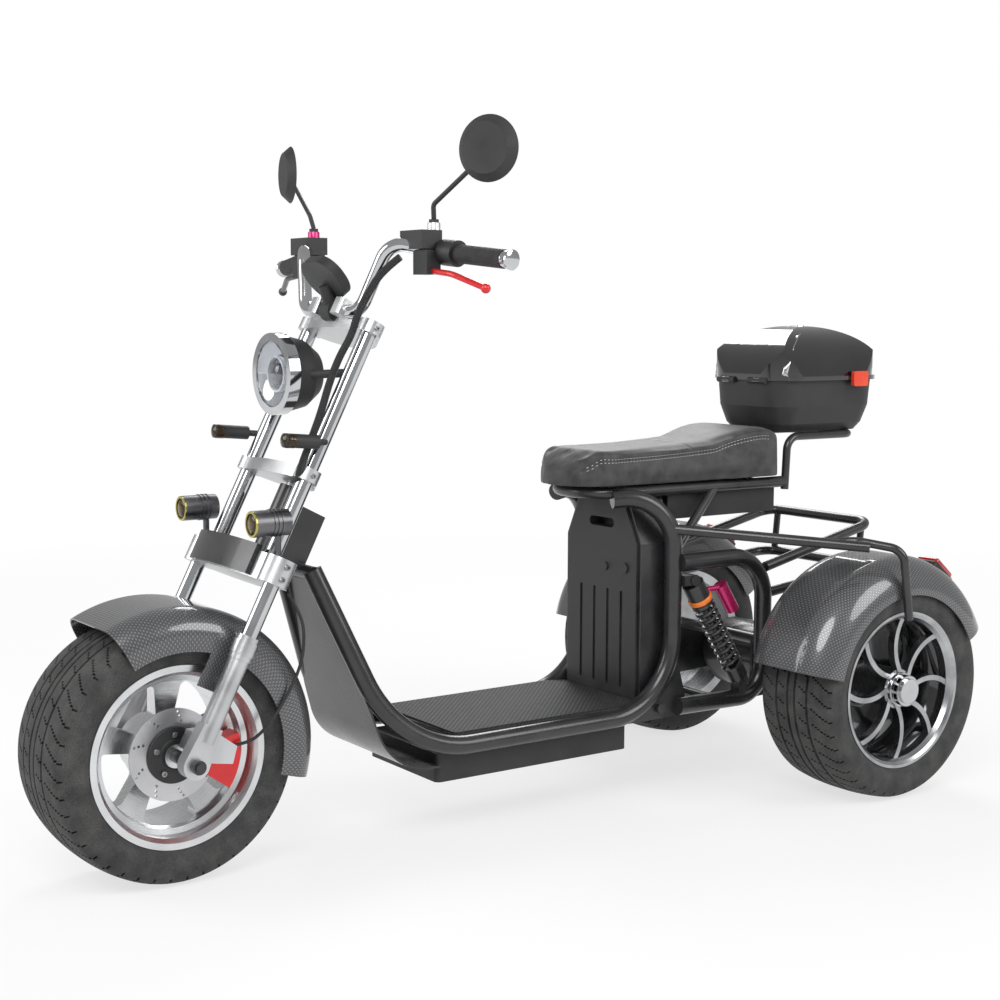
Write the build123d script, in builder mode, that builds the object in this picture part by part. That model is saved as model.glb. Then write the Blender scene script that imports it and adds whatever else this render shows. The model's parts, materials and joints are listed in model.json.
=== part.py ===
import os
from math import acos, asin, cos, degrees, radians, sin, tan

from build123d import *

os.makedirs("parts", exist_ok=True)

# Three-wheeled electric scooter, in millimetres. The front faces -Y, +Z is up and +X is the
# rider's left. The origin is on the ground, under the middle of the whole machine.

# Driving dimensions
WHEELBASE = 1500.0
TRACK = 700.0
FRONT_Y = -766.0
REAR_Y = FRONT_Y + WHEELBASE
TYRE_R = 238.0
TYRE_HALF = 105.0
RIM_LIP_R = 168.0
BEAD_R = 160.0
LIP_RING = 12.0
RAKE = 27.0
FORK_OFFSET = 42.0
LEG_X = 154.0
TUBE_X = 113.0
RUNNING = 0.05
SEAT_GAP = 0.3

AXLE_Z = TYRE_R
REAR_X = TRACK / 2
S, C = sin(radians(RAKE)), cos(radians(RAKE))
# The steering frame: +Z runs up the steering axis, +Y backwards, and z = 0 is level with the
# front axle, which lies FORK_OFFSET ahead of the axis.
STEER = Plane(
    origin=(0, FRONT_Y + FORK_OFFSET * C, AXLE_Z - FORK_OFFSET * S),
    x_dir=(1, 0, 0),
    z_dir=(0, S, C),
)


def wheel_plane(x, y, angle):
    """A plane through an axle, with its x along the axle and its y out at the given angle."""
    a = radians(angle)
    return Plane(origin=(x, y, AXLE_Z), x_dir=(1, 0, 0), z_dir=(0, -sin(a), cos(a)))


def axle_axis(x, y):
    """The spin axis of a wheel."""
    return Axis((x, y, AXLE_Z), (1, 0, 0))


def save(piece, name):
    """Label a finished piece and write its STEP file."""
    piece.label = name
    export_step(piece, f"parts/{name}.step")
    box = piece.bounding_box()
    print(name, len(piece.solids()), round(piece.volume), box.min, box.max)


# Wheels: name, axle x, axle y, side the wheel shows its face to
TREAD_HALF = 84.0
SHOULDER_R = 226.0
SIDE_R = 200.0
BEAD_HALF = 92.0
WHEELS = [
    ("front", 0.0, FRONT_Y, 1),
    ("rear_left", REAR_X, REAR_Y, 1),
    ("rear_right", -REAR_X, REAR_Y, -1),
]
for name, x, y, side in WHEELS:
    with BuildPart() as tyre:
        with BuildSketch(wheel_plane(x, y, 90)):
            with BuildLine():
                for s in (1, -1):
                    Line((s * BEAD_HALF, BEAD_R), (s * BEAD_HALF, RIM_LIP_R + 2))
                    ThreePointArc(
                        (s * BEAD_HALF, RIM_LIP_R + 2),
                        (s * TYRE_HALF, SIDE_R),
                        (s * TREAD_HALF, SHOULDER_R + 6),
                    )
                ThreePointArc((TREAD_HALF, SHOULDER_R + 6), (0, TYRE_R), (-TREAD_HALF, SHOULDER_R + 6))
                Line((BEAD_HALF, BEAD_R), (-BEAD_HALF, BEAD_R))
            make_face()
        revolve(axis=axle_axis(x, y))
    save(tyre.part, f"{name}_tyre")

# Front wheel: a cast web cut into five flared spokes, a stepped lip and a stout hub
AXLE_R = 8.0
HUB_R = 57.0
HUB_HALF = 50.0
LIP_HALF = 96.0
RIM_T = 14.0
BARREL_R = BEAD_R - RIM_T
STEP = 14.0
SPOKES = 5
SPOKE_IN = 34.0
SPOKE_OUT = 54.0
WINDOW_IN = HUB_R + 9
WINDOW_OUT = BARREL_R - STEP + 1
DRUM_R = HUB_R - 6
DRUM_END = HUB_HALF + 24
NOSE_END = HUB_HALF + 32
with BuildPart() as front_rim:
    with BuildSketch(wheel_plane(0, FRONT_Y, 90)):
        with BuildLine():
            Polyline(
                (-LIP_HALF, RIM_LIP_R),
                (-BEAD_HALF, RIM_LIP_R),
                (-BEAD_HALF, BEAD_R),
                (BEAD_HALF, BEAD_R),
                (BEAD_HALF, RIM_LIP_R),
                (LIP_HALF, RIM_LIP_R),
                (LIP_HALF, RIM_LIP_R - LIP_RING),
                (LIP_HALF - 10, BARREL_R + 3),
                (LIP_HALF - 26, BARREL_R),
                (LIP_HALF - 29, BARREL_R - STEP + 4),
                (LIP_HALF - 44, BARREL_R - STEP),
                (-LIP_HALF + 40, BARREL_R - STEP),
                (-LIP_HALF + 26, BARREL_R),
                (-LIP_HALF, RIM_LIP_R - LIP_RING),
                close=True,
            )
        make_face()
    revolve(axis=axle_axis(0, FRONT_Y))
    with BuildSketch(wheel_plane(0, FRONT_Y, 90)):
        Polygon(
            (-12, HUB_R - 4), (30, HUB_R - 4), (48, BARREL_R - STEP + 2), (20, BARREL_R - STEP + 2), align=None
        )
    revolve(axis=axle_axis(0, FRONT_Y))
    for i in range(SPOKES):
        turn = radians(90 + 360 / SPOKES * (i + 0.5))
        across = Plane(origin=(0, FRONT_Y, AXLE_Z), x_dir=(0, cos(turn), sin(turn)), z_dir=(1, 0, 0))
        near = 180 / SPOKES - degrees(asin(SPOKE_IN / 2 / WINDOW_IN))
        far = 180 / SPOKES - degrees(asin(SPOKE_OUT / 2 / WINDOW_OUT))
        with BuildSketch(across):
            with BuildLine():
                outer = CenterArc((0, 0), WINDOW_OUT, -far, 2 * far)
                inner = CenterArc((0, 0), WINDOW_IN, -near, 2 * near)
                Line(outer @ 0, inner @ 0)
                Line(outer @ 1, inner @ 1)
            make_face()
            fillet(vertices(), 12)
        extrude(amount=LIP_HALF, both=True, mode=Mode.SUBTRACT)
    with Locations((0, FRONT_Y, AXLE_Z)):
        Cylinder(HUB_R, 2 * HUB_HALF, rotation=(0, 90, 0))
    for start, end, r in ((HUB_HALF - 16, DRUM_END, DRUM_R), (DRUM_END - 4, NOSE_END, AXLE_R + 14)):
        with Locations(((start + end) / 2, FRONT_Y, AXLE_Z)):
            Cylinder(r, end - start, rotation=(0, 90, 0))
    with Locations((0, FRONT_Y, AXLE_Z)):
        Cylinder(AXLE_R + RUNNING, 4 * HUB_HALF, rotation=(0, 90, 0), mode=Mode.SUBTRACT)
save(front_rim.part, "front_rim")

# Front brake disc: a ring round the hub's drum, drilled in slanted rows
DISC_R = BARREL_R - 61
DISC_T = 4.0
DISC_X = HUB_HALF + 16
DISC_ROWS = 9
DISC_HOLES = [(63.0, -3.0), (71.0, 0.0), (79.0, 3.0)]
with BuildPart() as front_disc:
    with BuildSketch(Plane(origin=(DISC_X, FRONT_Y, AXLE_Z), x_dir=(0, 1, 0), z_dir=(1, 0, 0))):
        Circle(DISC_R)
        for r, shift in DISC_HOLES:
            with PolarLocations(r, DISC_ROWS, start_angle=shift):
                Circle(2.6, mode=Mode.SUBTRACT)
        Circle(DRUM_R, mode=Mode.SUBTRACT)
    extrude(amount=DISC_T)
save(front_disc.part, "front_disc")

# Rear wheels: slim curved blades before a closed dish in a deep barrel, and a stepped hub cap
REAR_HUB_R = 42.0
STUB_R = 15.0
BLADES = 8
BLADE_W = 11.0
BLADE_X = 66.0
BLADE_T = 17.0
DISH_X = -22.0
CAP_RINGS = [(70.0, 90.0, 36.0), (90.0, 108.0, 33.0), (108.0, 113.0, 27.0)]
for name, x, y, side in WHEELS[1:]:
    with BuildPart() as rim:
        with BuildSketch(wheel_plane(x, y, 90)):
            with BuildLine():
                Polyline(
                    (-side * LIP_HALF, RIM_LIP_R),
                    (-side * BEAD_HALF, RIM_LIP_R),
                    (-side * BEAD_HALF, BEAD_R),
                    (side * BEAD_HALF, BEAD_R),
                    (side * BEAD_HALF, RIM_LIP_R),
                    (side * LIP_HALF, RIM_LIP_R),
                    (side * LIP_HALF, RIM_LIP_R - LIP_RING / 2),
                    (side * (LIP_HALF - 5), RIM_LIP_R - LIP_RING),
                    (side * (LIP_HALF - 14), BARREL_R + 4),
                    (side * DISH_X, BARREL_R),
                    (side * (DISH_X - 8), 60),
                    (side * (DISH_X - 8), 30),
                    (side * (DISH_X - 16), 30),
                    (side * (DISH_X - 16), BARREL_R - 6),
                    (-side * LIP_HALF, BARREL_R),
                    close=True,
                )
            make_face()
        revolve(axis=axle_axis(x, y))
        with Locations((x + side * 20, y, AXLE_Z)):
            Cylinder(REAR_HUB_R, 120, rotation=(0, 90, 0))
        for start, end, r in CAP_RINGS:
            with Locations((x + side * (start + end) / 2, y, AXLE_Z)):
                Cylinder(r, end - start, rotation=(0, 90, 0))
        for i in range(BLADES):
            turn = radians(90 + 360 / BLADES * i)
            across = Plane(
                origin=(x + side * BLADE_X, y, AXLE_Z), x_dir=(0, cos(turn), sin(turn)), z_dir=(side, 0, 0)
            )
            with BuildSketch(across):
                with BuildLine():
                    ThreePointArc((REAR_HUB_R - 12, -8), (94, 13), (BARREL_R + 6, -6))
                trace(line_width=BLADE_W)
            extrude(amount=BLADE_T)
        with Locations((x - side * 10, y, AXLE_Z)):
            Cylinder(STUB_R + RUNNING, 120, rotation=(0, 90, 0), mode=Mode.SUBTRACT)
    save(rim.part, f"{name}_rim")

# Fork: chrome stanchions in silver sliders that end in flat lugs, with the axle between them
SLIDER_R = 19.0
STANCHION_R = 15.0
COLLAR_S = 222.0
BOSS_HALF = 14.0
LUG_R = 25.0
LUG_TOP = 74.0
LOWER_S = 345.0
LOWER_T = 50.0
UPPER_TUBE_R = 16.0
MOUNT_X = 92.0
with BuildPart(STEER) as fork_legs:
    for x in (-LEG_X, LEG_X):
        with Locations((x, -FORK_OFFSET, LUG_TOP - 30)):
            Cylinder(SLIDER_R, COLLAR_S - LUG_TOP + 30, align=(Align.CENTER, Align.CENTER, Align.MIN))
        with Locations((x, -FORK_OFFSET, COLLAR_S)):
            Cylinder(SLIDER_R + 4, 24)
            Cylinder(SLIDER_R + 2, 44)
        lug = Plane(
            origin=STEER.from_local_coords(Vector(x, -FORK_OFFSET, 0)), x_dir=(0, C, -S), z_dir=(1, 0, 0)
        )
        with BuildSketch(lug):
            Circle(LUG_R)
            Polygon((-LUG_R, 0), (LUG_R, 0), (SLIDER_R, LUG_TOP), (-SLIDER_R, LUG_TOP), align=None)
        extrude(amount=BOSS_HALF, both=True)
        with Locations((x, -FORK_OFFSET, COLLAR_S)):
            Cylinder(STANCHION_R, 60, mode=Mode.SUBTRACT)
    # The cast arm that carries the caliper, on the left leg
    with BuildSketch(lug.offset(MOUNT_X - LEG_X)):
        Polygon((-10, 18), (34, 14), (72, 26), (66, 58), (20, 66), (-10, 52), align=None)
    extrude(amount=LEG_X - MOUNT_X)
    with BuildSketch(lug):
        Circle(AXLE_R)
    extrude(amount=4 * LEG_X, both=True, mode=Mode.SUBTRACT)
save(fork_legs.part, "fork_legs")

MIDDLE_S = 545.0
UPPER_S = 845.0
CLAMP_T = 24.0
with BuildPart(STEER) as fork_tubes:
    for x in (-LEG_X, LEG_X):
        with Locations((x, -FORK_OFFSET, COLLAR_S - 30)):
            Cylinder(STANCHION_R, LOWER_S - COLLAR_S + 30, align=(Align.CENTER, Align.CENTER, Align.MIN))
    for x in (-TUBE_X, TUBE_X):
        with Locations((x, -FORK_OFFSET, LOWER_S + LOWER_T)):
            Cylinder(
                UPPER_TUBE_R, UPPER_S - LOWER_S - LOWER_T, align=(Align.CENTER, Align.CENTER, Align.MIN)
            )
save(fork_tubes.part, "fork_tubes")

with BuildPart() as front_axle:
    with Locations((0, FRONT_Y, AXLE_Z)):
        Cylinder(AXLE_R, 2 * LEG_X + 60, rotation=(0, 90, 0))
    for side in (-1, 1):
        with Locations((side * (LEG_X + BOSS_HALF + 6), FRONT_Y, AXLE_Z)):
            Cylinder(13, 12, rotation=(0, 90, 0))
    for start, end in ((-LEG_X + BOSS_HALF, -HUB_HALF - 1), (NOSE_END + 1, LEG_X - BOSS_HALF)):
        with Locations(((start + end) / 2, FRONT_Y, AXLE_Z)):
            Cylinder(12, end - start, rotation=(0, 90, 0))
save(front_axle.part, "front_axle")

# Steering clamps: collars round the legs and tubes, joined by arched bridges
STEM_R = 14.0
COLLAR_R = 29.0
BRIDGE_FRONT = 86.0
with BuildPart() as lower_clamp:
    with BuildSketch(STEER.offset(LOWER_S)):
        with BuildLine():
            ThreePointArc((-LEG_X, -62), (0, -BRIDGE_FRONT), (LEG_X, -62))
            Line((LEG_X, -62), (LEG_X, -24))
            ThreePointArc((LEG_X, -24), (0, 28), (-LEG_X, -24))
            Line((-LEG_X, -24), (-LEG_X, -62))
        make_face()
        with Locations((-LEG_X, -FORK_OFFSET), (LEG_X, -FORK_OFFSET)):
            Circle(COLLAR_R)
    extrude(amount=LOWER_T)
    with BuildSketch(STEER.offset(LOWER_S + LOWER_T)):
        Circle(STEM_R)
    extrude(amount=MIDDLE_S - LOWER_S - LOWER_T)
save(lower_clamp.part, "lower_clamp")

PANEL_HALF = 118.0
with BuildPart() as clamp_panel:
    with BuildSketch(STEER.offset(LOWER_S + 2)):
        with BuildLine():
            Polyline((-PANEL_HALF, -60), (-PANEL_HALF, -82))
            ThreePointArc((-PANEL_HALF, -82), (0, -BRIDGE_FRONT - 12), (PANEL_HALF, -82))
            Polyline((PANEL_HALF, -82), (PANEL_HALF, -60), (-PANEL_HALF, -60))
        make_face()
    extrude(amount=LOWER_T + 8)
    add(lower_clamp.part, mode=Mode.SUBTRACT)
    # Only the shell in front of the bridge stays
    with BuildSketch(STEER.offset(LOWER_S + LOWER_T)):
        with BuildLine():
            ThreePointArc((-PANEL_HALF - 4, -69.5), (0, -BRIDGE_FRONT), (PANEL_HALF + 4, -69.5))
            Polyline((PANEL_HALF + 4, -69.5), (PANEL_HALF + 4, 0), (-PANEL_HALF - 4, 0), (-PANEL_HALF - 4, -69.5))
        make_face()
    extrude(amount=LOWER_T, mode=Mode.SUBTRACT)
save(clamp_panel.part, "clamp_panel")

# Handlebar: one tube from grip to grip, held on the upper clamp
BAR_R = 13.0
BAR = [
    (404.0, FRONT_Y + 489, 1125.0),
    (245.0, FRONT_Y + 462, 1141.0),
    (164.0, FRONT_Y + 400, 1160.0),
    (106.0, FRONT_Y + 372, 1034.0),
]
with BuildPart() as handlebar:
    with BuildLine() as path:
        FilletPolyline(
            *BAR, *[(-x, y, z) for x, y, z in reversed(BAR)], radius=[80, 45, 40, 40, 45, 80]
        )
    with BuildSketch(Plane(origin=path.line @ 0, z_dir=path.line % 0)):
        Circle(BAR_R)
    sweep(path=path.line)
save(handlebar.part, "handlebar")

RING_R = 24.0
RISER_X = 45.0
with BuildPart() as steering_clamps:
    for s in (MIDDLE_S, UPPER_S):
        with BuildSketch(STEER.offset(s)):
            with BuildLine():
                ThreePointArc((-TUBE_X, -58), (0, -70), (TUBE_X, -58))
                Line((TUBE_X, -58), (TUBE_X, -28))
                ThreePointArc((TUBE_X, -28), (0, 26), (-TUBE_X, -28))
                Line((-TUBE_X, -28), (-TUBE_X, -58))
            make_face()
            with Locations((-TUBE_X, -FORK_OFFSET), (TUBE_X, -FORK_OFFSET)):
                Circle(RING_R)
        extrude(amount=CLAMP_T)
    for x in (-TUBE_X, TUBE_X):
        back = STEER.from_local_coords(Vector(x, -FORK_OFFSET, UPPER_S + CLAMP_T / 2))
        with BuildSketch(Plane(origin=back, x_dir=(1, 0, 0), z_dir=(0, C, -S))):
            Circle(14)
        extrude(amount=50, taper=9)
    with BuildSketch(STEER.offset(UPPER_S + CLAMP_T - 4)):
        with Locations((-RISER_X, -72), (RISER_X, -72)):
            RectangleRounded(32, 44, 8)
    extrude(amount=32)
    with BuildSketch(STEER.offset(MIDDLE_S)):
        with Locations((-TUBE_X, -FORK_OFFSET), (TUBE_X, -FORK_OFFSET)):
            Circle(UPPER_TUBE_R)
    extrude(amount=UPPER_S - MIDDLE_S, mode=Mode.SUBTRACT)
    add(handlebar.part, mode=Mode.SUBTRACT)
save(steering_clamps.part, "steering_clamps")

# Frame tubes
MAIN_R = 19.0
MAIN_X = 150.0
DECK_Z = 190.0
NECK_X = 60.0
NECK_END_Y = FRONT_Y + 290
BEND_Y = FRONT_Y + 430
POST_Y = REAR_Y - 393
MAIN_TOP = (97.0, POST_Y - 125, 644.0)
MAIN = [
    (NECK_X, NECK_END_Y, 548.0),
    (MAIN_X, BEND_Y, DECK_Z),
    (MAIN_X, POST_Y, DECK_Z),
    (MAIN_X, POST_Y, 654.0),
    MAIN_TOP,
]
CROSS_R = 14.0
CROSS_YS = (BEND_Y + 174, POST_Y - 162)
HEAD_R = 24.0
HEAD_LOW = LOWER_S + LOWER_T + 6
HEAD_LEN = MIDDLE_S - LOWER_S - LOWER_T - 12
NECK_BOX = 58.0
with BuildPart() as main_frame:
    for side in (-1, 1):
        with BuildLine() as path:
            FilletPolyline(*[(side * x, y, z) for x, y, z in MAIN], radius=[230, 165, 105])
        with BuildSketch(Plane(origin=path.line @ 0, z_dir=path.line % 0)):
            Circle(MAIN_R)
        sweep(path=path.line)
        # The pivot plate in the rear lower bend, with its bolt
        with BuildSketch(Plane.YZ.offset(side * MAIN_X)):
            Polygon(
                (POST_Y - 128, DECK_Z - 14), (POST_Y + 28, DECK_Z - 14), (POST_Y + 34, DECK_Z + 30),
                (POST_Y + 12, DECK_Z + 108), (POST_Y - 20, DECK_Z + 80), align=None,
            )
        extrude(amount=5, both=True)
        with Locations((side * (MAIN_X + 8), POST_Y - 38, DECK_Z + 10)):
            Cylinder(11, 14, rotation=(0, 90, 0))
    for y in CROSS_YS:
        with Locations((0, y, DECK_Z - 2)):
            Cylinder(CROSS_R, 2 * MAIN_X, rotation=(0, 90, 0))
    with Locations((0, NECK_END_Y + 3, 541)):
        Cylinder(CROSS_R, 2 * NECK_X + 8, rotation=(0, 90, 0))
    # Head tube around the stem, and the small box behind it that ties it to the tubes
    with BuildSketch(STEER.offset(HEAD_LOW)):
        Circle(HEAD_R)
        with Locations((0, 44)):
            Rectangle(NECK_BOX, 62)
    extrude(amount=HEAD_LEN - 26)
    with BuildSketch(STEER.offset(HEAD_LOW)):
        Circle(HEAD_R)
    extrude(amount=HEAD_LEN)
    with BuildSketch(STEER.offset(LOWER_S)):
        Circle(STEM_R + RUNNING)
    extrude(amount=300, mode=Mode.SUBTRACT)
save(main_frame.part, "main_frame")

# Leg shield: a curved sheet in front of the tubes that runs down to the box below the deck
SHIELD_T = 4.0
SHIELD_LOW = 152.0
BOX_FRONT_Y = BEND_Y + 96
with BuildPart() as leg_shield:
    with BuildSketch(Plane.YZ):
        with BuildLine():
            FilletPolyline(
                (NECK_END_Y, 548), (BEND_Y - 12, SHIELD_LOW), (BOX_FRONT_Y - SEAT_GAP, SHIELD_LOW), radius=120
            )
        trace(line_width=SHIELD_T)
    extrude(amount=MAIN_X, both=True)
    with BuildSketch(Plane.XZ):
        Polygon(
            (-NECK_X, 560), (NECK_X, 560), (126, 285), (142, 140), (-142, 140), (-126, 285),
            align=None,
        )
    extrude(amount=-2 * WHEELBASE, both=True, mode=Mode.INTERSECT)
    add(main_frame.part, mode=Mode.SUBTRACT)
save(leg_shield.part, "leg_shield")

# Footboard, its rubber mat and the controller box below
DECK_TOP = DECK_Z + MAIN_R + SEAT_GAP
DECK_T = 2.5
MAT_T = 3.5
DECK_HALF = 147.0
DECK_FRONT = BEND_Y + 124
DECK_BACK = POST_Y - 40
with BuildPart() as footboard:
    with BuildSketch(Plane.XY.offset(DECK_TOP)):
        with Locations((0, (DECK_FRONT + DECK_BACK) / 2)):
            RectangleRounded(2 * DECK_HALF, DECK_BACK - DECK_FRONT, 14)
    extrude(amount=DECK_T)
    add(main_frame.part, mode=Mode.SUBTRACT)
save(footboard.part, "footboard")
with BuildPart() as footboard_mat:
    with BuildSketch(Plane.XY.offset(DECK_TOP + DECK_T)):
        with Locations((0, (DECK_FRONT + DECK_BACK) / 2)):
            RectangleRounded(2 * DECK_HALF - 8, DECK_BACK - DECK_FRONT - 8, 12)
        with Locations((0, DECK_BACK)):
            Rectangle(2 * DECK_HALF - 30, 80, mode=Mode.SUBTRACT)
    extrude(amount=MAT_T)
    add(main_frame.part, mode=Mode.SUBTRACT)
save(footboard_mat.part, "footboard_mat")
BOX_TOP = DECK_Z - 2 - CROSS_R - SEAT_GAP
BOX_LEN_Y = 478.0
with BuildPart() as controller_box:
    with Locations((0, BOX_FRONT_Y, BOX_TOP)):
        Box(256, BOX_LEN_Y, 58, align=(Align.CENTER, Align.MIN, Align.MAX))
    fillet(controller_box.edges().filter_by(Axis.Z), 12)
save(controller_box.part, "controller_box")

# Battery pack and the housing that holds it
PACK_Y = POST_Y - 75
PACK_DEEP = 90.0
PACK_LOW = DECK_TOP + DECK_T + SEAT_GAP
PACK = [(118.0, PACK_LOW), (118.0, 545.0), (74.0, 638.0)]
PACK_GAP = 1.0
SHELL_T = 9.0
with BuildPart() as battery_pack:
    with BuildSketch(Plane.XZ.offset(-PACK_Y)):
        Polygon(*PACK, *[(-x, z) for x, z in reversed(PACK)], align=None)
    extrude(amount=-PACK_DEEP)
    # Four grooves down the front and the grip in the top
    with BuildSketch(Plane.XZ.offset(-PACK_Y)):
        with GridLocations(46, 0, 4, 1):
            with Locations((0, 338)):
                SlotCenterToCenter(200, 9, rotation=90)
    extrude(amount=-4, mode=Mode.SUBTRACT)
    with BuildSketch(Plane.XZ.offset(-PACK_Y)):
        with Locations((0, 585)):
            SlotCenterToCenter(64, 20)
    extrude(amount=-34, mode=Mode.SUBTRACT)
    for x, z, r in ((15, 490, 9), (81, 493, 11)):
        with BuildSketch(Plane.XZ.offset(-PACK_Y)):
            with Locations((x, z)):
                Circle(r)
        extrude(amount=4)
    add(main_frame.part, mode=Mode.SUBTRACT)
save(battery_pack.part, "battery_pack")
with BuildPart() as battery_housing:
    with BuildSketch(Plane.XZ.offset(-PACK_Y - 6)) as outline:
        Polygon(*PACK, *[(-x, z) for x, z in reversed(PACK)], align=None)
        offset(amount=PACK_GAP + SHELL_T)
        with Locations((0, PACK_LOW)):
            Rectangle(400, 60, align=(Align.CENTER, Align.MAX), mode=Mode.SUBTRACT)
    extrude(amount=-PACK_DEEP)
    with BuildSketch(Plane.XZ.offset(-PACK_Y)):
        Polygon(*PACK, *[(-x, z) for x, z in reversed(PACK)], align=None)
        offset(amount=PACK_GAP)
    extrude(amount=-PACK_DEEP - PACK_GAP, mode=Mode.SUBTRACT)
    add(main_frame.part, mode=Mode.SUBTRACT)
save(battery_housing.part, "battery_housing")

# Seat frame: a rail loop under the seat, struts to the main tubes and the box carrier behind
RAIL_R = 12.5
RAIL_X = 95.0
RAIL_Z = 656.0
RAIL_FRONT = POST_Y - 165
RAIL_BACK = REAR_Y - 18
CARRIER_R = 9.0
CARRIER_Z = 756.0
CARRIER_BACK = REAR_Y + 198
with BuildPart() as seat_frame:
    with BuildLine() as path:
        FilletPolyline(
            (RAIL_X, RAIL_BACK, RAIL_Z),
            (RAIL_X, RAIL_FRONT, RAIL_Z),
            (-RAIL_X, RAIL_FRONT, RAIL_Z),
            (-RAIL_X, RAIL_BACK, RAIL_Z),
            radius=88,
        )
    with BuildSketch(Plane(origin=path.line @ 0, z_dir=path.line % 0)):
        Circle(RAIL_R)
    sweep(path=path.line)
    with BuildLine() as path:
        FilletPolyline(
            (RAIL_X, RAIL_BACK, RAIL_Z - 18),
            (RAIL_X, RAIL_BACK + 6, CARRIER_Z),
            (RAIL_X, CARRIER_BACK, CARRIER_Z),
            (-RAIL_X, CARRIER_BACK, CARRIER_Z),
            (-RAIL_X, RAIL_BACK + 6, CARRIER_Z),
            (-RAIL_X, RAIL_BACK, RAIL_Z - 18),
            radius=32,
        )
    with BuildSketch(Plane(origin=path.line @ 0, z_dir=path.line % 0)):
        Circle(CARRIER_R)
    sweep(path=path.line)
    for y in (POST_Y - 40, RAIL_BACK - 90):
        with Locations((0, y, RAIL_Z + 2)):
            Cylinder(10, 2 * RAIL_X, rotation=(0, 90, 0))
    for side in (-1, 1):
        with BuildLine() as path:
            Line((side * MAIN_X, POST_Y, 526), (side * RAIL_X, POST_Y + 164, RAIL_Z))
        with BuildSketch(Plane(origin=path.line @ 0, z_dir=path.line % 0)):
            Circle(10)
        sweep(path=path.line)
    add(main_frame.part, mode=Mode.SUBTRACT)
save(seat_frame.part, "seat_frame")

# Seat: a saddle that dips for the rider and rises to a pillion step
SEAT_LOW = RAIL_Z + RAIL_R + SEAT_GAP
SEAT_FRONT = 124.0
SEAT_BACK = RAIL_BACK - 10
SEAT_HALF = 119.0
DIP_Z = 745.0
STEP_Z = 777.0
SEAT_LEN = SEAT_BACK - SEAT_FRONT
with BuildPart() as seat_cushion:
    with BuildSketch(Plane.XY.offset(SEAT_LOW)):
        with BuildLine():
            ThreePointArc((-106, SEAT_FRONT + 130), (0, SEAT_FRONT), (106, SEAT_FRONT + 130))
            Line((106, SEAT_FRONT + 130), (SEAT_HALF, SEAT_BACK - 60))
            ThreePointArc((SEAT_HALF, SEAT_BACK - 60), (104, SEAT_BACK - 18), (64, SEAT_BACK))
            Line((64, SEAT_BACK), (-64, SEAT_BACK))
            ThreePointArc((-64, SEAT_BACK), (-104, SEAT_BACK - 18), (-SEAT_HALF, SEAT_BACK - 60))
            Line((-SEAT_HALF, SEAT_BACK - 60), (-106, SEAT_FRONT + 130))
        make_face()
    extrude(amount=2 * (STEP_Z - SEAT_LOW))
    with BuildSketch(Plane.YZ):
        with BuildLine():
            Polyline(
                (SEAT_BACK + 5, STEP_Z - 16),
                (SEAT_BACK + 5, SEAT_LOW - 1),
                (SEAT_FRONT - 5, SEAT_LOW - 1),
                (SEAT_FRONT - 5, SEAT_LOW + 24),
            )
            ThreePointArc(
                (SEAT_FRONT - 5, SEAT_LOW + 24), (SEAT_FRONT + 18, DIP_Z - 18), (SEAT_FRONT + 80, DIP_Z - 3)
            )
            ThreePointArc(
                (SEAT_FRONT + 80, DIP_Z - 3), (SEAT_FRONT + SEAT_LEN / 2, DIP_Z + 3), (SEAT_BACK - 210, DIP_Z + 8)
            )
            ThreePointArc(
                (SEAT_BACK - 210, DIP_Z + 8), (SEAT_BACK - 150, STEP_Z - 8), (SEAT_BACK - 100, STEP_Z)
            )
            ThreePointArc((SEAT_BACK - 100, STEP_Z), (SEAT_BACK - 40, STEP_Z - 3), (SEAT_BACK + 5, STEP_Z - 16))
        make_face()
    extrude(amount=200, both=True, mode=Mode.INTERSECT)
save(seat_cushion.part, "seat_cushion")

with BuildPart() as underseat_box:
    with Locations((0, (POST_Y + RAIL_BACK) / 2 + 10, RAIL_Z - 8 - SEAT_GAP)):
        Box(
            2 * (RAIL_X - RAIL_R - SEAT_GAP), RAIL_BACK - POST_Y - 60, 58,
            align=(Align.CENTER, Align.CENTER, Align.MAX),
        )
save(underseat_box.part, "underseat_box")

# Top box, with its lid hinged along the front edge
BOX_HALF = 126.0
BOX_FRONT = REAR_Y - 66
BOX_BACK = REAR_Y + 264
BOX_MID = (BOX_FRONT + BOX_BACK) / 2
BOX_LOW = CARRIER_Z + CARRIER_R + SEAT_GAP
SPLIT_Z = 882.0
WALL = 4.0
LID_TOP = 1003.0
BOX_LEN = BOX_BACK - BOX_FRONT
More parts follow.
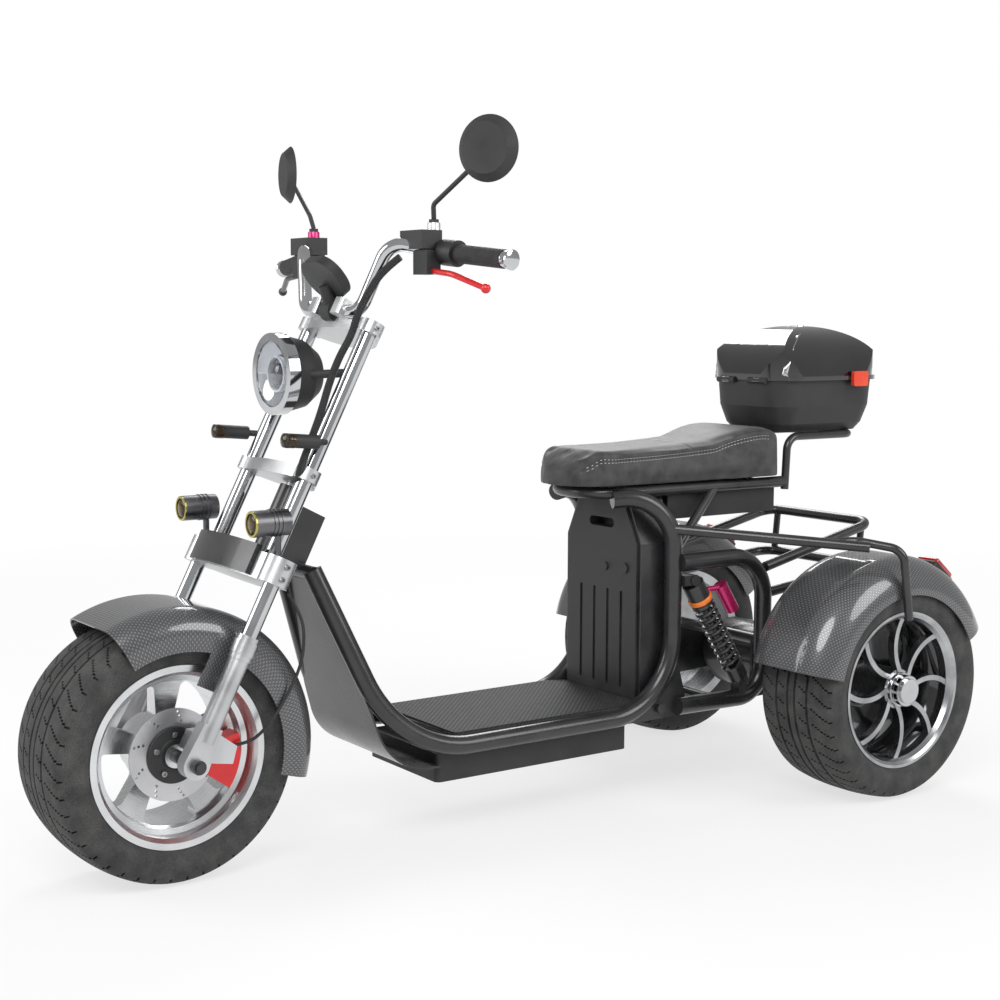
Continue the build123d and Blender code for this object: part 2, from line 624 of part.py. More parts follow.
# Hinge knuckles at the front edge: start and end of each along x, on both sides
KNUCKLE_R = 7.0
KNUCKLE_GAP = 0.4
TUB_KNUCKLES = [(22.0, 38.0), (62.0, 78.0)]
LID_KNUCKLE = (38.0 + KNUCKLE_GAP, 62.0 - KNUCKLE_GAP)
TUB = [(BOX_LOW, 40.0), (BOX_LOW + 18, 24.0), (BOX_LOW + 58, 9.0), (SPLIT_Z, 4.0)]
with BuildPart() as top_box:
    for thick, mode in ((0.0, Mode.ADD), (WALL, Mode.SUBTRACT)):
        for level, (z, inset) in enumerate(TUB):
            rise = {0: thick, len(TUB) - 1: thick / WALL}.get(level, 0)
            with BuildSketch(Plane.XY.offset(z + rise)):
                with Locations((0, BOX_MID)):
                    d = inset + thick
                    RectangleRounded(2 * (BOX_HALF - d), BOX_LEN - 2 * d, 68 - d)
        loft(ruled=True, mode=mode)
    for side in (-1, 1):
        for start, end in TUB_KNUCKLES:
            with Locations((side * (start + end) / 2, BOX_FRONT, SPLIT_Z)):
                Cylinder(KNUCKLE_R, end - start, rotation=(0, 90, 0))
        with Locations((side * (LID_KNUCKLE[0] + LID_KNUCKLE[1]) / 2, BOX_FRONT, SPLIT_Z)):
            Cylinder(
                KNUCKLE_R + KNUCKLE_GAP, LID_KNUCKLE[1] - LID_KNUCKLE[0] + 2 * KNUCKLE_GAP,
                rotation=(0, 90, 0), mode=Mode.SUBTRACT,
            )
save(top_box.part, "top_box")
LID_GAP = 0.5
LID_LOW = SPLIT_Z + LID_GAP
FLANGE = 6.0
domes = []
for thick in (WALL, 0.0):
    half, long_half, high = BOX_HALF - thick, BOX_LEN / 2 - thick, LID_TOP - LID_LOW - thick
    with BuildPart() as dome:
        with BuildSketch(Plane.YZ):
            with BuildLine():
                EllipticalCenterArc((BOX_MID, LID_LOW + 14), long_half, high - 14, arc_size=180)
                Polyline(
                    (BOX_MID + long_half, LID_LOW + 14), (BOX_MID + long_half, LID_LOW - 1),
                    (BOX_MID - long_half, LID_LOW - 1), (BOX_MID - long_half, LID_LOW + 14),
                )
            make_face()
        extrude(amount=BOX_HALF, both=True)
        with BuildSketch(Plane.XZ):
            with BuildLine():
                EllipticalCenterArc((0, LID_LOW + 10), half, high - 6, arc_size=180)
                Polyline(
                    (half, LID_LOW + 10), (half, LID_LOW - 1), (-half, LID_LOW - 1), (-half, LID_LOW + 10)
                )
            make_face()
        extrude(amount=-BOX_BACK - 10, mode=Mode.INTERSECT)
        with BuildSketch(Plane.XY.offset(LID_LOW if thick == 0 else LID_LOW - 1)):
            with Locations((0, BOX_MID)):
                RectangleRounded(2 * half, 2 * long_half, 66 - thick)
        extrude(amount=LID_TOP, mode=Mode.INTERSECT)
    domes.append(dome.part)
with BuildPart() as top_box_lid:
    add(domes[1])
    with BuildSketch(Plane.XY.offset(LID_LOW)):
        with Locations((0, BOX_MID)):
            RectangleRounded(2 * (BOX_HALF + FLANGE), BOX_LEN + 2 * FLANGE, 66 + FLANGE)
        with Locations((0, BOX_FRONT)):
            Rectangle(4 * BOX_HALF, 60, mode=Mode.SUBTRACT)
    extrude(amount=9)
    add(domes[0], mode=Mode.SUBTRACT)
    for side in (-1, 1):
        for start, end in TUB_KNUCKLES:
            with Locations((side * (start + end) / 2, BOX_FRONT, SPLIT_Z)):
                Cylinder(
                    KNUCKLE_R + KNUCKLE_GAP, end - start + 2 * KNUCKLE_GAP,
                    rotation=(0, 90, 0), mode=Mode.SUBTRACT,
                )
        with Locations((side * (LID_KNUCKLE[0] + LID_KNUCKLE[1]) / 2, BOX_FRONT, SPLIT_Z)):
            Cylinder(KNUCKLE_R, LID_KNUCKLE[1] - LID_KNUCKLE[0], rotation=(0, 90, 0))
save(top_box_lid.part, "top_box_lid")

# The latch on the lid's left side
LATCH_Y = BOX_BACK - 92
with BuildPart() as lid_latch:
    with Locations((BOX_HALF + FLANGE, LATCH_Y, SPLIT_Z - 14)):
        Box(9, 46, 34, align=(Align.MIN, Align.CENTER, Align.MIN))
    fillet(lid_latch.edges().filter_by(Axis.X), 5)
save(lid_latch.part, "lid_latch")

# Rear subframe: a tube loop on each side of the shocks, joined to the axle housing
LOOP_X = 165.0
LOOP_R = 19.0
LOOP_BACK = REAR_Y - 145
LOOP_LOW = 196.0
LOOP_TOP = 508.0
with BuildPart() as rear_subframe:
    for side in (-1, 1):
        with BuildLine() as path:
            FilletPolyline(
                (side * LOOP_X, POST_Y + 4, LOOP_LOW + 4),
                (side * LOOP_X, LOOP_BACK, LOOP_LOW),
                (side * LOOP_X, LOOP_BACK, LOOP_TOP),
                (side * LOOP_X, POST_Y + 6, LOOP_TOP),
                radius=[70, 95],
            )
        with BuildSketch(Plane(origin=path.line @ 0, z_dir=path.line % 0)):
            Circle(LOOP_R)
        sweep(path=path.line)
        with BuildSketch(Plane.YZ.offset(side * (LOOP_X - 25))):
            Polygon(
                (LOOP_BACK - 12, LOOP_LOW - 10), (REAR_Y + 48, AXLE_Z - 44), (REAR_Y + 48, AXLE_Z + 44),
                (LOOP_BACK - 12, AXLE_Z + 80), align=None,
            )
        extrude(amount=side * 8)
    for y, z in ((LOOP_BACK, LOOP_LOW + 120), (POST_Y + 120, LOOP_LOW)):
        with Locations((0, y, z)):
            Cylinder(12, 2 * LOOP_X, rotation=(0, 90, 0))
    add(main_frame.part, mode=Mode.SUBTRACT)
    with Locations((0, REAR_Y, AXLE_Z)):
        Cylinder(30, 600, rotation=(0, 90, 0), mode=Mode.SUBTRACT)
save(rear_subframe.part, "rear_subframe")

with BuildPart() as axle_housing:
    with Locations((0, REAR_Y, AXLE_Z)):
        Cylinder(30, 2 * (REAR_X - 75), rotation=(0, 90, 0))
        Cylinder(STUB_R, 2 * (REAR_X + 40), rotation=(0, 90, 0))
        Cylinder(78, 180, rotation=(0, 90, 0))
        Cylinder(62, 240, rotation=(0, 90, 0))
save(axle_housing.part, "axle_housing")

# Rack behind the seat and the stays that run out to the rear fenders
RACK_R = 11.0
RACK_X = 168.0
RACK_POST_X = RACK_X - 31
with BuildPart() as rear_rack:
    with BuildLine() as path:
        FilletPolyline(
            (RACK_X, LOOP_BACK + 2, 480),
            (RACK_X, REAR_Y + 190, 556),
            (-RACK_X, REAR_Y + 190, 556),
            (-RACK_X, LOOP_BACK + 2, 480),
            radius=40,
        )
    with BuildSketch(Plane(origin=path.line @ 0, z_dir=path.line % 0)):
        Circle(RACK_R)
    sweep(path=path.line)
    with BuildLine() as path:
        FilletPolyline(
            (RACK_X - 3, LOOP_BACK, 420),
            (RACK_X - 3, REAR_Y + 180, 456),
            (-RACK_X + 3, REAR_Y + 180, 456),
            (-RACK_X + 3, LOOP_BACK, 420),
            radius=40,
        )
    with BuildSketch(Plane(origin=path.line @ 0, z_dir=path.line % 0)):
        Circle(RACK_R)
    sweep(path=path.line)
    for x in (-RACK_POST_X, RACK_POST_X):
        with BuildLine() as path:
            Line((x, REAR_Y + 180, 456), (x, REAR_Y + 190, 556))
        with BuildSketch(Plane(origin=path.line @ 0, z_dir=path.line % 0)):
            Circle(8)
        sweep(path=path.line)
    add(rear_subframe.part, mode=Mode.SUBTRACT)
save(rear_rack.part, "rear_rack")

FENDER_R = 284.0
FENDER_T = 3.0
FENDER_HALF = 115.0
FENDER_SHOULDER = 72.0
STAY_END = (452.0, REAR_Y - 122, 554.0)
STAY_R = 9.0
STAY_TIP_X = REAR_X + FENDER_HALF + STAY_R + SEAT_GAP
STAY_BORE_R = 8.0
STAY_BORE_DEEP = 60.0
with BuildPart() as fender_stays:
    for side in (-1, 1):
        with BuildLine() as path:
            Line((side * MAIN_X, POST_Y - 10, 580), (side * STAY_END[0], *STAY_END[1:]))
        with BuildSketch(Plane(origin=path.line @ 0, z_dir=path.line % 0)):
            Circle(RACK_R)
        sweep(path=path.line)
        with BuildSketch(Plane(origin=path.line @ 1, z_dir=path.line % 1)):
            Circle(STAY_BORE_R)
        extrude(amount=-STAY_BORE_DEEP, mode=Mode.SUBTRACT)
        with BuildLine() as path:
            FilletPolyline(
                (side * 375, REAR_Y - 193, 561),
                (side * 400, REAR_Y - 104, 560),
                (side * STAY_TIP_X, REAR_Y - 44, 545),
                (side * STAY_TIP_X, REAR_Y - 22, 396),
                radius=[40, 36],
            )
        with BuildSketch(Plane(origin=path.line @ 0, z_dir=path.line % 0)):
            Circle(STAY_R)
        sweep(path=path.line)
    add(main_frame.part, mode=Mode.SUBTRACT)
save(fender_stays.part, "fender_stays")

# Rear fenders: a rounded channel round the top and front of each wheel
for name, side in (("rear_left_fender", 1), ("rear_right_fender", -1)):
    with BuildPart() as fender:
        with BuildSketch(wheel_plane(side * REAR_X, REAR_Y, 26)):
            for grow, mode in ((0, Mode.ADD), (-FENDER_T, Mode.SUBTRACT)):
                with BuildLine():
                    FilletPolyline(
                        (-FENDER_HALF - grow, 206),
                        (-FENDER_HALF - grow, FENDER_R + grow),
                        (FENDER_HALF + grow, FENDER_R + grow),
                        (FENDER_HALF + grow, 206),
                        radius=FENDER_SHOULDER + grow,
                    )
                    Line((FENDER_HALF + grow, 206), (-FENDER_HALF - grow, 206))
                make_face(mode=mode)
        revolve(axis=axle_axis(side * REAR_X, REAR_Y), revolution_arc=141)
    save(fender.part, name)

# Shocks between the main tubes and the rear loops: a damper, its coil and a gas reservoir
SHOCK_TOP = (POST_Y + 37, 470.0)
SHOCK_LOW = (LOOP_BACK - 67, 238.0)
EYE_R = 12.0
COIL_R = 25.0
COIL_IN = 18.0
COIL_START = 60.0
COIL_END = 235.0
SHOCK_LEN = ((SHOCK_LOW[0] - SHOCK_TOP[0]) ** 2 + (SHOCK_LOW[1] - SHOCK_TOP[1]) ** 2) ** 0.5
with BuildPart() as shocks:
    for side in (-1, 1):
        down = Plane(
            origin=(side * LOOP_X, *SHOCK_TOP),
            x_dir=(1, 0, 0),
            z_dir=(0, SHOCK_LOW[0] - SHOCK_TOP[0], SHOCK_LOW[1] - SHOCK_TOP[1]),
        )
        for start, end, r in ((0, SHOCK_LEN, 9), (10, COIL_START - 0.5, 24), (COIL_END + 0.5, SHOCK_LEN - 8, 22)):
            with BuildSketch(down.offset(start)):
                Circle(r)
            extrude(amount=end - start)
        for y, z in (SHOCK_TOP, SHOCK_LOW):
            with Locations((side * LOOP_X, y, z)):
                Cylinder(EYE_R, 34, rotation=(0, 90, 0))
        with Locations((side * LOOP_X, SHOCK_TOP[0] - 14, SHOCK_TOP[1])):
            Box(28, 28, 22)
        with Locations((side * LOOP_X, SHOCK_LOW[0], SHOCK_LOW[1] - 16)):
            Box(28, 22, 32)
    add(main_frame.part, mode=Mode.SUBTRACT)
    add(rear_subframe.part, mode=Mode.SUBTRACT)
save(shocks.part, "shocks")
with BuildPart() as shock_springs:
    for side in (-1, 1):
        down = Plane(
            origin=(side * LOOP_X, *SHOCK_TOP),
            x_dir=(1, 0, 0),
            z_dir=(0, SHOCK_LOW[0] - SHOCK_TOP[0], SHOCK_LOW[1] - SHOCK_TOP[1]),
        )
        with BuildSketch(down.offset(COIL_START)):
            Circle(COIL_R)
            Circle(COIL_IN, mode=Mode.SUBTRACT)
        extrude(amount=COIL_END - COIL_START)
save(shock_springs.part, "shock_springs")
RES_TOP = (LOOP_BACK - 128, 452.0)
RES_LOW = (LOOP_BACK - 90, 394.0)
with BuildPart() as shock_reservoirs:
    for side in (-1, 1):
        with BuildLine() as path:
            Line((side * LOOP_X, *RES_TOP), (side * LOOP_X, *RES_LOW))
        with BuildSketch(Plane(origin=path.line @ 0, z_dir=path.line % 0)):
            Circle(15)
        sweep(path=path.line)
        with BuildLine() as path:
            Line((side * LOOP_X, RES_TOP[0] + 4, RES_TOP[1] - 6), (side * LOOP_X, SHOCK_TOP[0] + 20, 443))
        with BuildSketch(Plane(origin=path.line @ 0, z_dir=path.line % 0)):
            Circle(6)
        sweep(path=path.line)
    add(shocks.part, mode=Mode.SUBTRACT)
save(shock_reservoirs.part, "shock_reservoirs")

# Front fender: a rounded channel over the front wheel, with a lobe bolted to each slider
FRONT_FENDER_R = 272.0
FRONT_FENDER_HALF = 122.0
with BuildPart() as front_fender:
    with BuildSketch(wheel_plane(0, FRONT_Y, -16)):
        for grow, mode in ((0, Mode.ADD), (-FENDER_T, Mode.SUBTRACT)):
            with BuildLine():
                FilletPolyline(
                    (-FRONT_FENDER_HALF - grow, 196),
                    (-FRONT_FENDER_HALF - grow, FRONT_FENDER_R + grow),
                    (FRONT_FENDER_HALF + grow, FRONT_FENDER_R + grow),
                    (FRONT_FENDER_HALF + grow, 196),
                    radius=50 + grow,
                )
                Line((FRONT_FENDER_HALF + grow, 196), (-FRONT_FENDER_HALF - grow, 196))
            make_face(mode=mode)
    revolve(axis=axle_axis(0, FRONT_Y), revolution_arc=134)
    for side in (-1, 1):
        with BuildSketch(Plane.YZ.offset(side * FRONT_FENDER_HALF)):
            with Locations((FRONT_Y, AXLE_Z)):
                with PolarLocations(170, 1, start_angle=90 - RAKE):
                    Rectangle(80, 78)
        extrude(amount=-side * FENDER_T)
        with Locations((side * 137, FRONT_Y + 150 * S, AXLE_Z + 150 * C)):
            Cylinder(12, 34, rotation=(0, 90, 0))
    add(fork_legs.part, mode=Mode.SUBTRACT)
save(front_fender.part, "front_fender")

# Front caliper, on the left slider and astride the disc
CALIPER_IN = DISC_R - 25
CALIPER_OUT = DISC_R + 37
CALIPER_X = (DISC_X - 12, MOUNT_X)
with BuildPart() as front_caliper:
    with BuildSketch(wheel_plane(0, FRONT_Y, -36)):
        with Locations(((CALIPER_X[0] + CALIPER_X[1]) / 2, (CALIPER_IN + CALIPER_OUT) / 2)):
            Rectangle(CALIPER_X[1] - CALIPER_X[0], CALIPER_OUT - CALIPER_IN)
    revolve(axis=axle_axis(0, FRONT_Y), revolution_arc=50)
    with Locations((DISC_X + DISC_T / 2, FRONT_Y, AXLE_Z)):
        Cylinder(DISC_R + 6, DISC_T + 6, rotation=(0, 90, 0), mode=Mode.SUBTRACT)
    add(fork_legs.part, mode=Mode.SUBTRACT)
save(front_caliper.part, "front_caliper")

# Headlight
LAMP_Z = 916.0
LAMP_Y = FRONT_Y + 262
LAMP_R = 77.0
lamp = Plane(origin=(0, LAMP_Y, LAMP_Z), x_dir=(1, 0, 0), z_dir=(0, -1, 0))
with BuildPart() as headlight_bucket:
    with BuildSketch(lamp.offset(-66)):
        Circle(44)
    with BuildSketch(lamp.offset(-40)):
        Circle(64)
    with BuildSketch(lamp):
        Circle(LAMP_R - 4)
    loft(ruled=True)
    for side in (-1, 1):
        with BuildLine() as path:
            Line((side * 58, LAMP_Y + 26, LAMP_Z), (side * TUBE_X, LAMP_Y + 82, LAMP_Z + 4))
        with BuildSketch(Plane(origin=path.line @ 0, z_dir=path.line % 0)):
            Circle(8)
        sweep(path=path.line)
    add(fork_tubes.part, mode=Mode.SUBTRACT)
save(headlight_bucket.part, "headlight_bucket")
with BuildPart() as headlight_bezel:
    with BuildSketch(lamp):
        Circle(LAMP_R)
        Circle(LAMP_R - 15, mode=Mode.SUBTRACT)
    extrude(amount=22)
save(headlight_bezel.part, "headlight_bezel")
with BuildPart() as headlight_lens:
    with BuildSketch(lamp):
        Circle(LAMP_R - 15)
    extrude(amount=20)
save(headlight_lens.part, "headlight_lens")

# Fog lamps on the lower clamp and indicators on the fork tubes
FOG_X = 149.0
FOG_Z = 656.0
FOG_Y = FRONT_Y + 123
FOG_LEN = 68.0
with BuildPart() as fog_lamps:
    for side in (-1, 1):
        with Locations((side * FOG_X, FOG_Y, FOG_Z)):
            Cylinder(24, FOG_LEN, rotation=(90, 0, 0), align=(Align.CENTER, Align.CENTER, Align.MAX))
        with Locations((side * FOG_X, FOG_Y + 50, FOG_Z)):
            Cylinder(6, 76, align=(Align.CENTER, Align.CENTER, Align.MAX))
    add(lower_clamp.part, mode=Mode.SUBTRACT)
save(fog_lamps.part, "fog_lamps")
BLINK_S = 625.0
with BuildPart() as indicators:
    for side in (-1, 1):
        root = STEER.from_local_coords(Vector(side * (TUBE_X + UPPER_TUBE_R), -FORK_OFFSET, BLINK_S))
        with BuildLine() as path:
            Line(root - Vector(side * 2, 0, 0), root + Vector(side * 13, -28, 2))
        with BuildSketch(Plane(origin=path.line @ 0, z_dir=path.line % 0)):
            Circle(6)
        sweep(path=path.line)
        with BuildLine() as path:
            Line(root + Vector(side * 13, -24, 2), root + Vector(side * 15, -94, 8))
        with BuildSketch(Plane(origin=path.line @ 0, z_dir=path.line % 0)):
            Circle(13)
        sweep(path=path.line)
    add(fork_tubes.part, mode=Mode.SUBTRACT)
save(indicators.part, "indicators")

# Grips, controls, levers and mirrors, each on both sides
tip = Vector(BAR[0])
inner = Vector(BAR[1])
run = (tip - inner).normalized()
GRIP_LEN = 116.0
with BuildPart() as grips:
    for side in (-1, 1):
        out = Vector(side * run.X, run.Y, run.Z)
        start = Vector(side * tip.X, tip.Y, tip.Z) - out * GRIP_LEN
        with BuildSketch(Plane(origin=start, z_dir=out)):
            Circle(17)
            Circle(BAR_R, mode=Mode.SUBTRACT)
        extrude(amount=GRIP_LEN)
        with BuildSketch(Plane(origin=start + out * GRIP_LEN, z_dir=out)):
            Circle(15)
        extrude(amount=20)
save(grips.part, "grips")
with BuildPart() as bar_controls:
    for side in (-1, 1):
        out = Vector(side * run.X, run.Y, run.Z)
        end = Vector(side * tip.X, tip.Y, tip.Z)
        with BuildSketch(Plane(origin=end - out * (GRIP_LEN + 38), z_dir=out)):
            Circle(24)
        extrude(amount=36)
        with Locations((side * 212, FRONT_Y + 438, 1163)):
            Box(74, 44, 34)
        with Locations((side * 222, FRONT_Y + 452, 1146)):
            Cylinder(20, 30, rotation=(0, 90, 0))
        with Locations((side * 226, FRONT_Y + 457, 1160)):
            Cylinder(9, 40, align=(Align.CENTER, Align.CENTER, Align.MIN))
        with Locations((side * 232, FRONT_Y + 438, 1122)):
            Box(46, 30, 44)
    add(handlebar.part, mode=Mode.SUBTRACT)
save(bar_controls.part, "bar_controls")
LEVER = [(250.0, FRONT_Y + 438, 1106.0), (310.0, FRONT_Y + 440, 1100.0), (380.0, FRONT_Y + 466, 1074.0)]
with BuildPart() as lever_left:
    with BuildLine() as path:
        FilletPolyline(*LEVER, radius=60)
    with BuildSketch(Plane(origin=path.line @ 0, z_dir=path.line % 0)):
        Circle(5.5)
    sweep(path=path.line)
    with Locations(tuple(path.line @ 1)):
        Sphere(9)
    add(bar_controls.part, mode=Mode.SUBTRACT)
save(lever_left.part, "lever_left")
with BuildPart() as lever_right:
    add(mirror(lever_left.part, about=Plane.YZ))
save(lever_right.part, "lever_right")
STEM = [(226.0, FRONT_Y + 457, 1200.3), (232.0, FRONT_Y + 452, 1226.0), (352.0, FRONT_Y + 476, 1302.0)]
MIRROR = (371.0, FRONT_Y + 473, 1318.0)
MIRROR_R = 59.0
MIRROR_TURN = {1: 28.0, -1: 15.0}
with BuildPart() as mirrors:
    for side in (-1, 1):
        with BuildLine() as path:
            FilletPolyline(*[(side * x, y, z) for x, y, z in STEM], radius=14)
        with BuildSketch(Plane(origin=path.line @ 0, z_dir=path.line % 0)):
            Circle(4.5)
        sweep(path=path.line)
        turn = radians(MIRROR_TURN[side])
        face = Plane(
            origin=(side * MIRROR[0], MIRROR[1], MIRROR[2]),
            x_dir=(cos(turn), side * sin(turn), 0),
            z_dir=(side * sin(turn), -cos(turn), 0),
        )
        with BuildSketch(face.offset(-8)):
            Circle(MIRROR_R)
        with BuildSketch(face.offset(8)):
            Circle(MIRROR_R - 14)
        loft(ruled=True)
    add(bar_controls.part, mode=Mode.SUBTRACT)
save(mirrors.part, "mirrors")
DISPLAY = Plane(origin=(0, FRONT_Y + 350, 1091), x_dir=(1, 0, 0), z_dir=(0, 0.785, 0.62))
with BuildPart() as display:
    with BuildSketch(DISPLAY):
        RectangleRounded(118, 86, 40)
    extrude(amount=20)
    with BuildLine() as path:
        Line((0, FRONT_Y + 356, 1082), (0, BAR[-1][1] - 2, BAR[-1][2] + 6))
    with BuildSketch(Plane(origin=path.line @ 0, z_dir=path.line % 0)):
        Circle(13)
    sweep(path=path.line)
    # The ring that holds it on the bar
    with Locations((0, *BAR[-1][1:])):
        Cylinder(BAR_R + 7, 34, rotation=(0, 90, 0))
    add(handlebar.part, mode=Mode.SUBTRACT)
    add(steering_clamps.part, mode=Mode.SUBTRACT)
save(display.part, "display")

# Tail lamps on the backs of the rear fenders
TAIL_ANGLE = 45.0
TAIL_OUT = 52.0
with BuildPart() as tail_lamps:
    for side in (-1, 1):
        with BuildSketch(wheel_plane(side * REAR_X, REAR_Y, TAIL_ANGLE)):
            with Locations((0, FENDER_R - 2)):
                RectangleRounded(64, 2 * TAIL_OUT, 10)
        extrude(amount=21, both=True)
    with Locations((0, REAR_Y, AXLE_Z)):
        Cylinder(FENDER_R, 4 * REAR_X, rotation=(0, 90, 0), mode=Mode.SUBTRACT)
save(tail_lamps.part, "tail_lamps")
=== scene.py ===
"""Looks of an open three-wheeled electric scooter, built round its fixed CAD frame."""
import json
import logging
import math
from dataclasses import dataclass, field
from enum import StrEnum
from typing import Callable, Iterable, Iterator, Sequence

import bmesh
import bpy
from mathutils import Matrix, Vector
from mathutils.bvhtree import BVHTree


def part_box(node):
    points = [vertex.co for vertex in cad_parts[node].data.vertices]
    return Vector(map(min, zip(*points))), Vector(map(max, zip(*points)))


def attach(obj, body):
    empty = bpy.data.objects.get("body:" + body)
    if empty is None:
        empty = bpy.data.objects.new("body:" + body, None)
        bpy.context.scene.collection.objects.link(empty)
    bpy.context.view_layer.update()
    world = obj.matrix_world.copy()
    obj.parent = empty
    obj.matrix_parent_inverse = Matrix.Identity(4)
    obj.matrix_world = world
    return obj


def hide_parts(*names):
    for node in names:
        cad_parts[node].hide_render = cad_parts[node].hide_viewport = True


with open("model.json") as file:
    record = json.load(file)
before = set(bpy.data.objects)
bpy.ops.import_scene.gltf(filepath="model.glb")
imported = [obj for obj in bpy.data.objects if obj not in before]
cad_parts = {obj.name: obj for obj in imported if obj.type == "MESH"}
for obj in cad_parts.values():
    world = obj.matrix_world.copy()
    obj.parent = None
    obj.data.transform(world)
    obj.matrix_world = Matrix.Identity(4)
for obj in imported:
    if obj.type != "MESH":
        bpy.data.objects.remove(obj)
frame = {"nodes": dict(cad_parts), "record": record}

log = logging.getLogger("scooter")
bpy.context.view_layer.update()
MM = 0.001
Profile = Sequence[tuple[float, float]]
Line = Sequence[tuple[float, float, float]]
AHEAD = Vector((0.0, -1.0, 0.0))
SIDEWAYS = Vector((1.0, 0.0, 0.0))


class Body(StrEnum):
    """The CAD bodies that pieces ride on."""

    CHASSIS = "chassis"
    STEERING = "steering"
    FRONT_WHEEL = "front_wheel"
    REAR_LEFT_WHEEL = "rear_left_wheel"
    REAR_RIGHT_WHEEL = "rear_right_wheel"
    LID = "box_lid"


class Plane(StrEnum):
    """The two directions that a moulded pattern runs along."""

    SIDE = "XZ"
    TOP = "XY"


class Graph:
    """A material's node tree, with short calls for what every finish needs."""

    def __init__(self, name: str) -> None:
        """Starts an empty finish.

        Args:
            name: the material's name.
        """
        self.material = bpy.data.materials.new(name)
        self.material.use_nodes = True
        self.tree = self.material.node_tree
        self.shader = next(n for n in self.tree.nodes if n.type == "BSDF_PRINCIPLED")

    def add(self, kind: str, **inputs: object) -> bpy.types.Node:
        """Adds a node and fills its inputs.

        Args:
            kind: the node's type name.
            **inputs: values or sockets, by input name with spaces as underscores.

        Returns:
            The node.
        """
        node = self.tree.nodes.new(kind)
        for key, value in inputs.items():
            self.put(node.inputs[key.replace("_", " ")], value)
        return node

    def put(self, socket: bpy.types.NodeSocket, value: object) -> None:
        """Links a socket, or sets its value.

        Args:
            socket: the input.
            value: a number, a colour or another node's socket.
        """
        if isinstance(value, bpy.types.NodeSocket):
            self.tree.links.new(value, socket)
        else:
            socket.default_value = value

    def place(self) -> bpy.types.NodeSocket:
        """The point on the piece, in metres."""
        return self.add("ShaderNodeTexCoord").outputs["Object"]

    def maths(self, what: str, *values: object) -> bpy.types.NodeSocket:
        """One step of arithmetic.

        Args:
            what: the operation's name.
            *values: numbers or sockets.

        Returns:
            The result's socket.
        """
        node = self.tree.nodes.new("ShaderNodeMath")
        node.operation = what
        for socket, value in zip(node.inputs, values):
            self.put(socket, value)
        return node.outputs[0]

    def noise(self, scale: float, detail: float = 3.0, where: object = None) -> bpy.types.NodeSocket:
        """A cloudy pattern.

        Args:
            scale: cells a metre.
            detail: how many finer layers.
            where: the point it is read at.

        Returns:
            Its factor.
        """
        node = self.add("ShaderNodeTexNoise", Scale=scale, Detail=detail, Vector=where or self.place())
        return node.outputs["Factor"] if "Factor" in node.outputs else node.outputs["Fac"]

    def blend(self, factor: object, low: Sequence[float], high: Sequence[float]) -> bpy.types.NodeSocket:
        """A colour between two.

        Args:
            factor: 0 to 1.
            low: the colour at 0.
            high: the colour at 1.

        Returns:
            The colour's socket.
        """
        node = self.tree.nodes.new("ShaderNodeMix")
        node.data_type = "RGBA"
        self.put(node.inputs["Factor"], factor)
        for socket, value in ((node.inputs[6], low), (node.inputs[7], high)):
            self.put(socket, value if isinstance(value, bpy.types.NodeSocket) else (*value[:3], 1.0))
        return node.outputs[2]

    def remap(self, value: object, low: float, high: float, to: tuple[float, float]) -> bpy.types.NodeSocket:
        """A number stretched from one span to another.

        Args:
            value: the number.
            low: where the first span starts.
            high: where it ends.
            to: the second span.

        Returns:
            The new number's socket.
        """
        node = self.tree.nodes.new("ShaderNodeMapRange")
        for key, item in zip((0, 1, 2, 3, 4), (value, low, high, *to)):
            self.put(node.inputs[key], item)
        return node.outputs[0]

    def raise_by(self, height: object, distance: float, strength: float = 1.0) -> None:
        """Bumps the surface.

        Args:
            height: 0 to 1.
            distance: how deep the bump is, in metres.
            strength: how much of it shows.
        """
        bump = self.add("ShaderNodeBump", Height=height, Distance=distance, Strength=strength)
        self.put(self.shader.inputs["Normal"], bump.outputs["Normal"])

    def shine(self, **values: object) -> None:
        """Sets the shader's own inputs, by name with spaces as underscores."""
        for key, value in values.items():
            self.put(self.shader.inputs[key.replace("_", " ")], value)


@dataclass(frozen=True)
class Finish:
    """An even surface with a fine grain, a little cloudiness and its own gloss."""

    name: str
    colour: tuple[float, float, float]
    shade: tuple[float, float, float]
    roughness: tuple[float, float] = (0.35, 0.5)
    metallic: float = 0.0
    coat: float = 0.0
    grain: float = 900.0
    depth: float = 0.00006
    cloud: float = 14.0

    def make(self) -> bpy.types.Material:
        """Builds the material."""
        g = Graph(self.name)
        where = g.place()
        cloud = g.noise(self.cloud, 4.0, where)
        fine = g.noise(self.grain, 2.0, where)
        g.shine(
            Base_Color=g.blend(g.remap(cloud, 0.3, 0.7, (0.0, 1.0)), self.colour, self.shade),
            Roughness=g.remap(cloud, 0.3, 0.7, self.roughness),
            Metallic=self.metallic,
            Coat_Weight=self.coat,
            Coat_Roughness=0.08,
        )
        g.raise_by(fine, self.depth)
        return g.material


